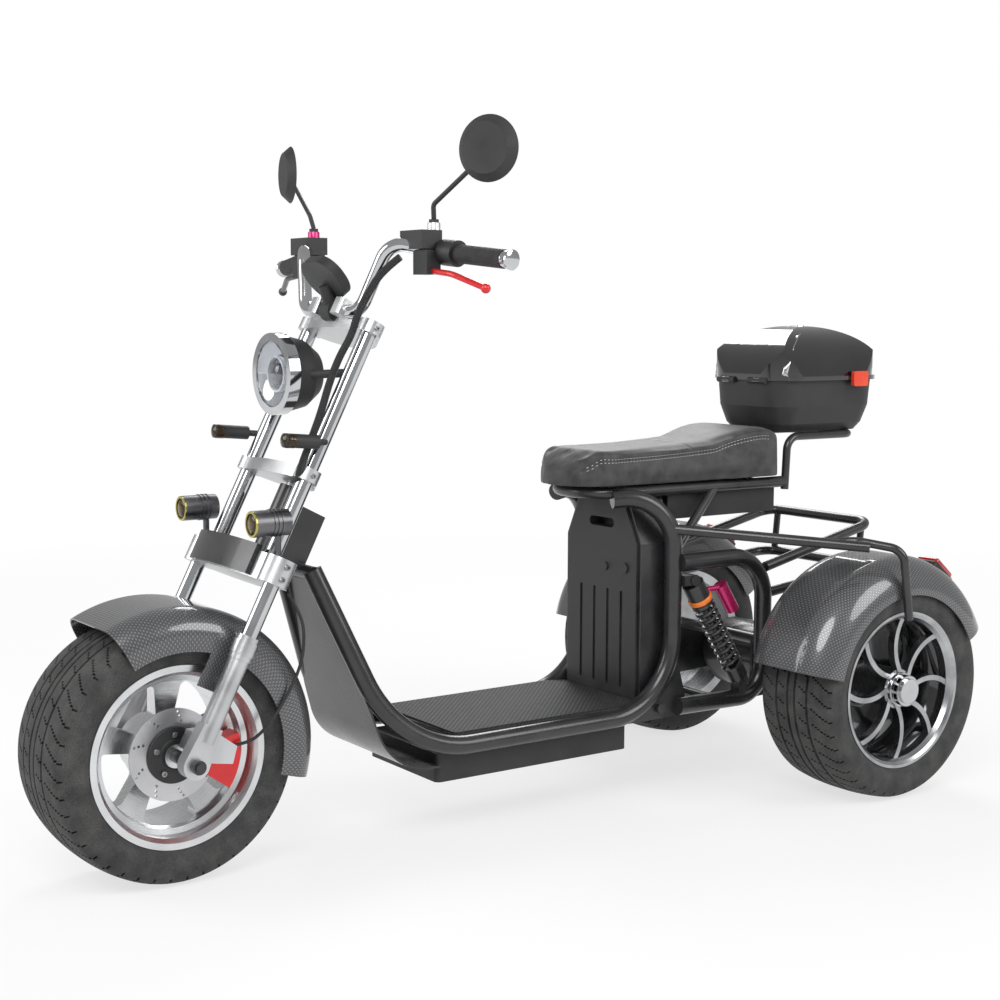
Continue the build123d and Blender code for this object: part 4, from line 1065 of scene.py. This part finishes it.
@dataclass
class HeadLamp:
    """What shows behind the headlight's glass, and the glass itself.

    The radii of the bowl and the glass are shares of the lens's own.
    """

    node: str = "headlight_lens"
    bowl: Profile = ((0.0165, 1.0), (0.013, 0.93), (0.006, 0.72), (0.002, 0.5), (0.001, 0.0))
    eye: Profile = ((0.002, 0.021), (0.010, 0.021), (0.014, 0.016), (0.0165, 0.008), (0.017, 0.0))
    halo: Profile = ((0.004, 0.030), (0.012, 0.030), (0.012, 0.0345), (0.004, 0.0345), (0.004, 0.030))
    glass: Profile = ((0.0175, 1.0), (0.0195, 1.0), (0.0225, 0.8), (0.0245, 0.45), (0.025, 0.0))
    glass_wall: float = 0.0018
    rebate: float = 0.98

    def build(self) -> None:
        """Makes the bowl, the projector, its ring and the domed glass."""
        low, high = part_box(self.node)
        back = Vector(((low[0] + high[0]) / 2, high[1], (low[2] + high[2]) / 2))
        r = (high[0] - low[0]) / 2
        bowl = lathe([(s, q * r) for s, q in self.bowl], back, AHEAD, 72)
        finish_piece(bowl, "headlight_bowl", Body.STEERING, "chrome", smooth=50.0)
        eye = lathe(self.eye, back, AHEAD, 40)
        finish_piece(eye, "headlight_projector", Body.STEERING, "projector")
        halo = lathe(self.halo, back, AHEAD, 56)
        finish_piece(halo, "headlight_halo", Body.STEERING, "halo_white")
        glass = [(s, q * r) for s, q in self.glass]
        inner = [(s - self.glass_wall, q) for s, q in reversed(glass[2:])]
        foot = [(glass[0][0], r * self.rebate), glass[0]]
        lens = lathe(glass + inner + foot, back, AHEAD, 72)
        lens = finish_piece(lens, "headlight_glass", Body.STEERING, "lamp_glass", smooth=50.0)
        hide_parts(self.node)


@dataclass
class SmallLamps:
    """Lenses, rings and fins on the fog lamps, and amber ends on the indicators."""

    fog_x: float = 0.149
    fog_z: float = 0.656
    fog_lens: Profile = ((0.0002, 0.0195), (0.002, 0.018), (0.0045, 0.010), (0.005, 0.0))
    fog_ring: Profile = ((0.0, 0.0195), (0.003, 0.0195), (0.0036, 0.0215), (0.003, 0.0235), (0.0, 0.0235))
    fins: tuple[float, ...] = (-0.052, -0.044, -0.036)
    fin_wide: float = 0.003
    fin_inner: float = 0.0238
    fin_outer: float = 0.0254
    indicator_x: float = 0.144
    indicator_z: float = 0.8025
    indicator_sunk: float = 0.001
    indicator_run: tuple[float, float, float] = (2.0, -70.0, 6.0)
    indicator_lens: Profile = (
        (-0.020, 0.0133), (-0.004, 0.0135), (0.0, 0.0118), (0.003, 0.006), (0.004, 0.0),
    )

    def build(self) -> None:
        """Makes the fronts of all four lamps."""
        fog_front, lamp_front = (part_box(node)[0][1] for node in ("fog_lamps", "indicators"))
        inner, outer = self.fin_inner, self.fin_outer
        lenses, rings, fins, ends = [], [], [], []
        for side in (-1, 1):
            at = Vector((side * self.fog_x, fog_front, self.fog_z))
            lenses.append(lathe(self.fog_lens, at, AHEAD, 40))
            rings.append(lathe(self.fog_ring, at, AHEAD, 40))
            for s in self.fins:
                end = s + self.fin_wide
                fins.append(lathe([(s, inner), (s, outer), (end, outer), (end, inner)], at, AHEAD, 40))
            at = Vector((side * self.indicator_x, lamp_front + self.indicator_sunk, self.indicator_z))
            along = Vector((side * self.indicator_run[0], *self.indicator_run[1:])).normalized()
            ends.append(lathe(self.indicator_lens, at, along, 32))
        finish_piece(join(lenses), "fog_lenses", Body.STEERING, "amber_glass")
        finish_piece(join(rings), "fog_rings", Body.STEERING, "gold_ring")
        finish_piece(join(fins), "fog_fins", Body.STEERING, "gunmetal")
        finish_piece(join(ends), "indicator_lenses", Body.STEERING, "amber_glass")


@dataclass
class MirrorFaces:
    """The mirrors' glass, on the sides that face the rider."""

    centre: tuple[float, float, float] = (0.371, -0.293, 1.318)
    turns: tuple[tuple[int, float], ...] = ((1, 28.0), (-1, 15.0))
    behind: float = 0.008
    face: Profile = ((-0.001, 0.0555), (0.0004, 0.055), (0.0008, 0.052), (0.0010, 0.0))

    def build(self) -> None:
        """Makes both faces."""
        faces = []
        for side, degrees in self.turns:
            turn = math.radians(degrees)
            back = Vector((-side * math.sin(turn), math.cos(turn), 0))
            at = Vector((side * self.centre[0], *self.centre[1:])) + back * self.behind
            faces.append(lathe(self.face, at, back, 64))
        finish_piece(join(faces), "mirror_faces", Body.STEERING, "mirror_glass")


def rear_wheels() -> Iterator[tuple[str, Vector, Vector]]:
    """The rear wheels' names, centres and outward directions."""
    for name in ("rear_left", "rear_right"):
        at = Vector(WHEELS_AT[name])
        yield name, at, Vector((math.copysign(1.0, at.x), 0, 0))


@dataclass
class HubCaps:
    """Chrome caps with ringed steps over the rear hubs."""

    steps: Profile = (
        (0.0805, 0.0363), (0.0885, 0.0363), (0.0905, 0.0350), (0.0905, 0.0333), (0.0960, 0.0333),
        (0.0966, 0.0325), (0.0975, 0.0333), (0.1065, 0.0333), (0.1084, 0.0315), (0.1084, 0.0273),
        (0.1125, 0.0273), (0.1135, 0.026), (0.1137, 0.012), (0.1130, 0.0),
    )

    def build(self) -> None:
        """Makes both caps."""
        for name, at, out in rear_wheels():
            cap = lathe(self.steps, at, out, 64)
            finish_piece(cap, f"{name}_cap", Body(f"{name}_wheel"), "chrome")


@dataclass
class WheelShades:
    """The black barrels behind the rear blades, and the black drum in the front disc."""

    barrel: Profile = ((0.064, 0.1478), (-0.0212, 0.1453), (-0.0292, 0.0600), (-0.0292, 0.0424))
    drum: Profile = (
        (0.0702, 0.0512), (0.0735, 0.0518), (0.0748, 0.0505), (0.0748, 0.0300), (0.0760, 0.0285),
        (0.0760, 0.0224),
    )
    wall: float = 0.0005

    def build(self) -> None:
        """Makes the two barrels and the drum as thin skins over the castings."""
        for name, at, out in rear_wheels():
            bm = lathe(self.barrel, at, out, 96)
            bmesh.ops.reverse_faces(bm, faces=bm.faces)
            skin = finish_piece(bm, f"{name}_barrel", Body(f"{name}_wheel"), "gloss_black")
            thicken(skin, self.wall)
        drum = lathe(self.drum, Vector(WHEELS_AT["front"]), SIDEWAYS, 72)
        thicken(finish_piece(drum, "front_drum", Body.FRONT_WHEEL, "black_plastic"), self.wall)


def rounded_block(size: Sequence[float], bevel: float, place: Matrix) -> bmesh.types.BMesh:
    """A block with every edge rounded.

    Args:
        size: its three sizes.
        bevel: the edges' radius.
        place: where it stands.

    Returns:
        The block's mesh.
    """
    bm = bmesh.new()
    bmesh.ops.create_cube(bm, size=1.0, matrix=Matrix.Diagonal((*size, 1.0)))
    bmesh.ops.bevel(bm, geom=bm.edges[:], offset=bevel, segments=4, profile=0.5, affect="EDGES")
    bm.transform(place)
    return bm


@dataclass
class TailLamps:
    """Red lamps in black housings, seated on the backs of the rear fenders."""

    lean: float = math.radians(50.0)
    housing: tuple[float, float, float] = (0.066, 0.074, 0.020)
    housing_edge: float = 0.005
    housing_at: float = 0.2945
    lens: tuple[float, float, float] = (0.058, 0.066, 0.018)
    lens_edge: float = 0.0065
    lens_at: float = 0.3060

    def block(self, hub: Vector, size: Sequence[float], edge: float, away: float) -> bmesh.types.BMesh:
        """A block that faces away from the wheel's hub.

        Args:
            hub: the wheel's centre.
            size: the block's three sizes.
            edge: the radius of its edges.
            away: how far its middle is from the hub.

        Returns:
            The block's mesh.
        """
        out = Vector((0, math.cos(self.lean), math.sin(self.lean)))
        turn = Matrix.Rotation(self.lean - math.pi / 2, 4, "X")
        return rounded_block(size, edge, Matrix.Translation(hub + out * away) @ turn)

    def build(self) -> None:
        """Makes both lamps."""
        hubs = [at for _, at, _ in rear_wheels()]
        housings = join(self.block(hub, self.housing, self.housing_edge, self.housing_at) for hub in hubs)
        housing = finish_piece(housings, "tail_housings", Body.CHASSIS, "black_plastic")
        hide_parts("tail_lamps")
        lenses = join(self.block(hub, self.lens, self.lens_edge, self.lens_at) for hub in hubs)
        finish_piece(lenses, "tail_lenses", Body.CHASSIS, "lamp_red")


@dataclass(frozen=True)
class BoltRow:
    """Bolts on both sides of the fork, at heights along the steering's axis."""

    x: float
    heights: tuple[float, ...]
    out: float
    radius: float
    head: float


@dataclass
class Bolts:
    """Socket bolts on the clamps and the disc."""

    rows: tuple[BoltRow, ...] = (
        BoltRow(0.113, (0.557, 0.857), 0.0235, 0.0045, 0.005),
        BoltRow(0.154, (0.358, 0.382), 0.0285, 0.0055, 0.006),
    )
    disc_x: float = 0.075
    disc_circle: float = 0.038
    disc_count: int = 5
    disc_radius: float = 0.0055
    disc_head: float = 0.005

    def build(self) -> None:
        """Makes the clamps' bolts and the disc's."""
        heads = []
        for row in self.rows:
            for side in (-1, 1):
                out = SIDEWAYS * side
                for height in row.heights:
                    at = Vector((side * row.x, *FRONT_HUB)) + STEER_UP * height
                    heads.append(bolt(at + out * row.out, out, row.radius, row.head))
        finish_piece(join(heads), "clamp_bolts", Body.STEERING, "bolt_steel")
        heads = []
        for i in range(self.disc_count):
            a = 2 * math.pi * (i + 0.25) / self.disc_count
            spot = Vector((self.disc_x, self.disc_circle * math.cos(a), self.disc_circle * math.sin(a)))
            spot += Vector((0, *FRONT_HUB))
            heads.append(bolt(spot, SIDEWAYS, self.disc_radius, self.disc_head))
        finish_piece(join(heads), "disc_bolts", Body.FRONT_WHEEL, "bolt_steel")


@dataclass
class LidTrim:
    """The silver band over the lid."""

    guide: Line = (
        (0.114, 0.690, 0.893), (0.112, 0.700, 0.925), (0.100, 0.722, 0.957), (0.078, 0.758, 0.980),
        (0.045, 0.808, 0.996), (0.0, 0.850, 1.005),
    )
    heart: tuple[float, float, float] = (0.0, 0.833, 0.86)
    width: float = 0.012
    lift: float = 0.0012
    steps: int = 60

    def build(self) -> None:
        """Lays the band on the dome from one corner over the top to the other."""
        tree = surface("top_box_lid")
        line = [Vector(p) for p in self.guide] + [Vector((-x, y, z)) for x, y, z in reversed(self.guide[:-1])]
        bm = bmesh.new()
        bmesh.ops.create_grid(bm, x_segments=self.steps, y_segments=3, size=0.5)
        spans = len(line) - 1
        for vert in bm.verts:
            t = (vert.co.x + 0.5) * spans
            i = min(int(t), spans - 1)
            centre = line[i].lerp(line[i + 1], t - i)
            run = (line[i + 1] - line[i]).normalized()
            over = run.cross(centre - Vector(self.heart)).normalized()
            spot, normal = tree.find_nearest(centre + over * vert.co.y * self.width)[:2]
            vert.co = spot + normal * self.lift
        bmesh.ops.recalc_face_normals(bm, faces=bm.faces)
        thicken(finish_piece(bm, "lid_band", Body.LID, "chrome", smooth=60.0), self.lift, -1.0)


@dataclass
class Bars:
    """Bar ends, fluid pots and the cables that run down from the bars."""

    tip: tuple[float, float, float] = (0.404, -0.277, 1.125)
    run: tuple[float, float, float] = (0.159, 0.027, -0.016)
    end: Profile = (
        (0.0, 0.0156), (0.013, 0.0160), (0.016, 0.0182), (0.0195, 0.0182), (0.0208, 0.016), (0.0208, 0.0),
    )
    pot_at: tuple[float, float, float] = (0.226, -0.309, 1.172)
    pot: Profile = ((0.0, 0.0092), (0.0, 0.0118), (0.020, 0.0118), (0.022, 0.0108), (0.022, 0.0))
    conduit: Line = (
        (0.192, -0.360, 1.132), (0.163, -0.384, 1.105), (0.144, -0.402, 1.062), (0.131, -0.415, 1.028),
        (0.132, -0.428, 0.990), (0.134, -0.456, 0.950), (0.139, -0.480, 0.903), (0.138, -0.496, 0.852),
        (0.138, -0.518, 0.800), (0.132, -0.536, 0.752), (0.104, -0.530, 0.716), (0.080, -0.524, 0.680),
        (0.070, -0.530, 0.640),
    )
    conduit_r: float = 0.007
    hose: Line = (
        (0.088, -0.690, 0.246), (0.104, -0.640, 0.244), (0.124, -0.606, 0.276), (0.128, -0.570, 0.326),
        (0.130, -0.540, 0.380), (0.130, -0.530, 0.430), (0.129, -0.535, 0.480), (0.122, -0.560, 0.520),
    )
    hose_r: float = 0.003

    def build(self) -> None:
        """Makes them all."""
        ends, pots = [], {}
        for side in (-1, 1):
            out = Vector((side * self.run[0], *self.run[1:])).normalized()
            ends.append(lathe(self.end, Vector((side * self.tip[0], *self.tip[1:])), out))
            foot = Vector((side * self.pot_at[0], *self.pot_at[1:]))
            pots[side] = lathe(self.pot, foot, Vector((0, 0, 1)))
        finish_piece(join(ends), "bar_ends", Body.STEERING, "chrome")
        finish_piece(pots[1], "left_pot", Body.STEERING, "slider")
        finish_piece(pots[-1], "right_pot", Body.STEERING, "magenta_anodised")
        self.cables()

    def cables(self) -> None:
        """Lays the conduit and the front brake hose, clipped to the fork."""
        conduit = wire([Vector(p) for p in self.conduit], self.conduit_r)
        finish_piece(conduit, "cable_conduit", Body.STEERING, "conduit", 60.0)
        hose = wire([Vector(p) for p in self.hose], self.hose_r)
        finish_piece(hose, "brake_hose", Body.STEERING, "black_rubber", smooth=60.0)


@dataclass
class Studio:
    """A pale floor and soft lamps, seen from the photograph's viewpoint."""

    eye: tuple[float, float, float] = (2.8571, -1.9996, 1.0321)
    yaw: float = 55.041
    pitch: float = 6.298
    roll: float = 0.21
    lens: float = 61.15
    lamps: list[tuple[str, tuple[float, float, float], float, float]] = field(
        default_factory=lambda: [
            ("key", (2.6, -2.6, 3.6), 2.6, 120.0),
            ("side", (3.4, 1.8, 2.6), 2.4, 70.0),
            ("back", (-2.6, 2.2, 3.2), 2.4, 90.0),
            ("front", (-1.6, -3.4, 2.2), 2.2, 50.0),
        ]
    )

    def camera(self) -> None:
        """Sets the camera where the photograph was taken."""
        yaw, pitch, roll = (math.radians(v) for v in (self.yaw, self.pitch, self.roll))
        ahead = Vector((-math.sin(yaw) * math.cos(pitch), math.cos(yaw) * math.cos(pitch), -math.sin(pitch)))
        right = ahead.cross(Vector((0, 0, 1))).normalized()
        up = right.cross(ahead)
        across = math.cos(roll) * right + math.sin(roll) * up
        over = -math.sin(roll) * right + math.cos(roll) * up
        data = bpy.data.cameras.new("camera")
        data.lens, data.sensor_width = self.lens, 36.0
        cam = bpy.data.objects.new("camera", data)
        bpy.context.scene.collection.objects.link(cam)
        turn = Matrix((across, over, -ahead)).transposed().to_4x4()
        cam.matrix_world = Matrix.Translation(Vector(self.eye)) @ turn
        bpy.context.scene.camera = cam

    def floor(self) -> None:
        """Lays the pale floor, which shows white but keeps the shadow."""
        bm = bmesh.new()
        bmesh.ops.create_circle(bm, cap_ends=True, segments=64, radius=30.0)
        mesh = bpy.data.meshes.new("floor")
        bm.to_mesh(mesh)
        bm.free()
        floor = bpy.data.objects.new("floor", mesh)
        bpy.context.scene.collection.objects.link(floor)
        g = Graph("floor")
        g.shine(Base_Color=(0.8, 0.8, 0.8, 1.0), Roughness=0.9, Specular_IOR_Level=0.1)
        path = g.add("ShaderNodeLightPath").outputs
        seen = g.maths("MAXIMUM", path["Is Camera Ray"], path["Is Glossy Ray"])
        seen = g.maths("MAXIMUM", seen, path["Is Transmission Ray"])
        glow = g.add("ShaderNodeEmission", Color=(1.0, 1.0, 1.0, 1.0), Strength=1.0)
        away = g.tree.nodes.new("ShaderNodeVectorMath")
        away.operation = "LENGTH"
        g.put(away.inputs[0], g.place())
        share = g.remap(away.outputs["Value"], 1.2, 4.5, (0.7, 1.0))
        mix = g.add("ShaderNodeMixShader", Fac=g.maths("MULTIPLY", seen, share))
        g.put(mix.inputs[1], g.shader.outputs[0])
        g.put(mix.inputs[2], glow.outputs[0])
        out = next(n for n in g.tree.nodes if n.type == "OUTPUT_MATERIAL")
        g.put(out.inputs["Surface"], mix.outputs[0])
        mesh.materials.append(g.material)

    def light(self) -> None:
        """Hangs the soft lamps and a pale sky."""
        for name, at, size, power in self.lamps:
            data = bpy.data.lights.new(name, "AREA")
            data.shape, data.size, data.energy = "DISK", size, power
            lamp = bpy.data.objects.new(name, data)
            bpy.context.scene.collection.objects.link(lamp)
            aim = Vector((0, 0, 0.5)) - Vector(at)
            turn = aim.to_track_quat("-Z", "Y").to_matrix().to_4x4()
            lamp.matrix_world = Matrix.Translation(Vector(at)) @ turn
        world = bpy.data.worlds.new("sky")
        bpy.context.scene.world = world
        world.use_nodes = True
        tree = world.node_tree
        back = next(n for n in tree.nodes if n.type == "BACKGROUND")
        path = tree.nodes.new("ShaderNodeLightPath")
        strength = tree.nodes.new("ShaderNodeMapRange")
        tree.links.new(path.outputs["Is Camera Ray"], strength.inputs[0])
        strength.inputs[3].default_value, strength.inputs[4].default_value = 0.42, 1.0
        tree.links.new(strength.outputs[0], back.inputs["Strength"])
        back.inputs["Color"].default_value = (1.0, 1.0, 1.0, 1.0)

    def build(self) -> None:
        """Sets up the whole studio."""
        self.camera()
        self.floor()
        self.light()
        bpy.context.scene.view_settings.view_transform = "Standard"


def main() -> None:
    """Dresses the frame, adds the pieces and sets up the studio."""
    logging.basicConfig(level=logging.INFO)
    dress_frame()
    for name, at in WHEELS_AT.items():
        Tyre(f"{name}_tyre", Body(f"{name}_wheel"), Vector(at)).build()
    makers = (
        Saddle, RearShocks, HeadLamp, SmallLamps, MirrorFaces, HubCaps, WheelShades, TailLamps, Bolts,
        LidTrim, Bars, Studio,
    )
    for maker in makers:
        maker().build()
    bpy.context.view_layer.update()


if __name__ == "__main__":
    main()
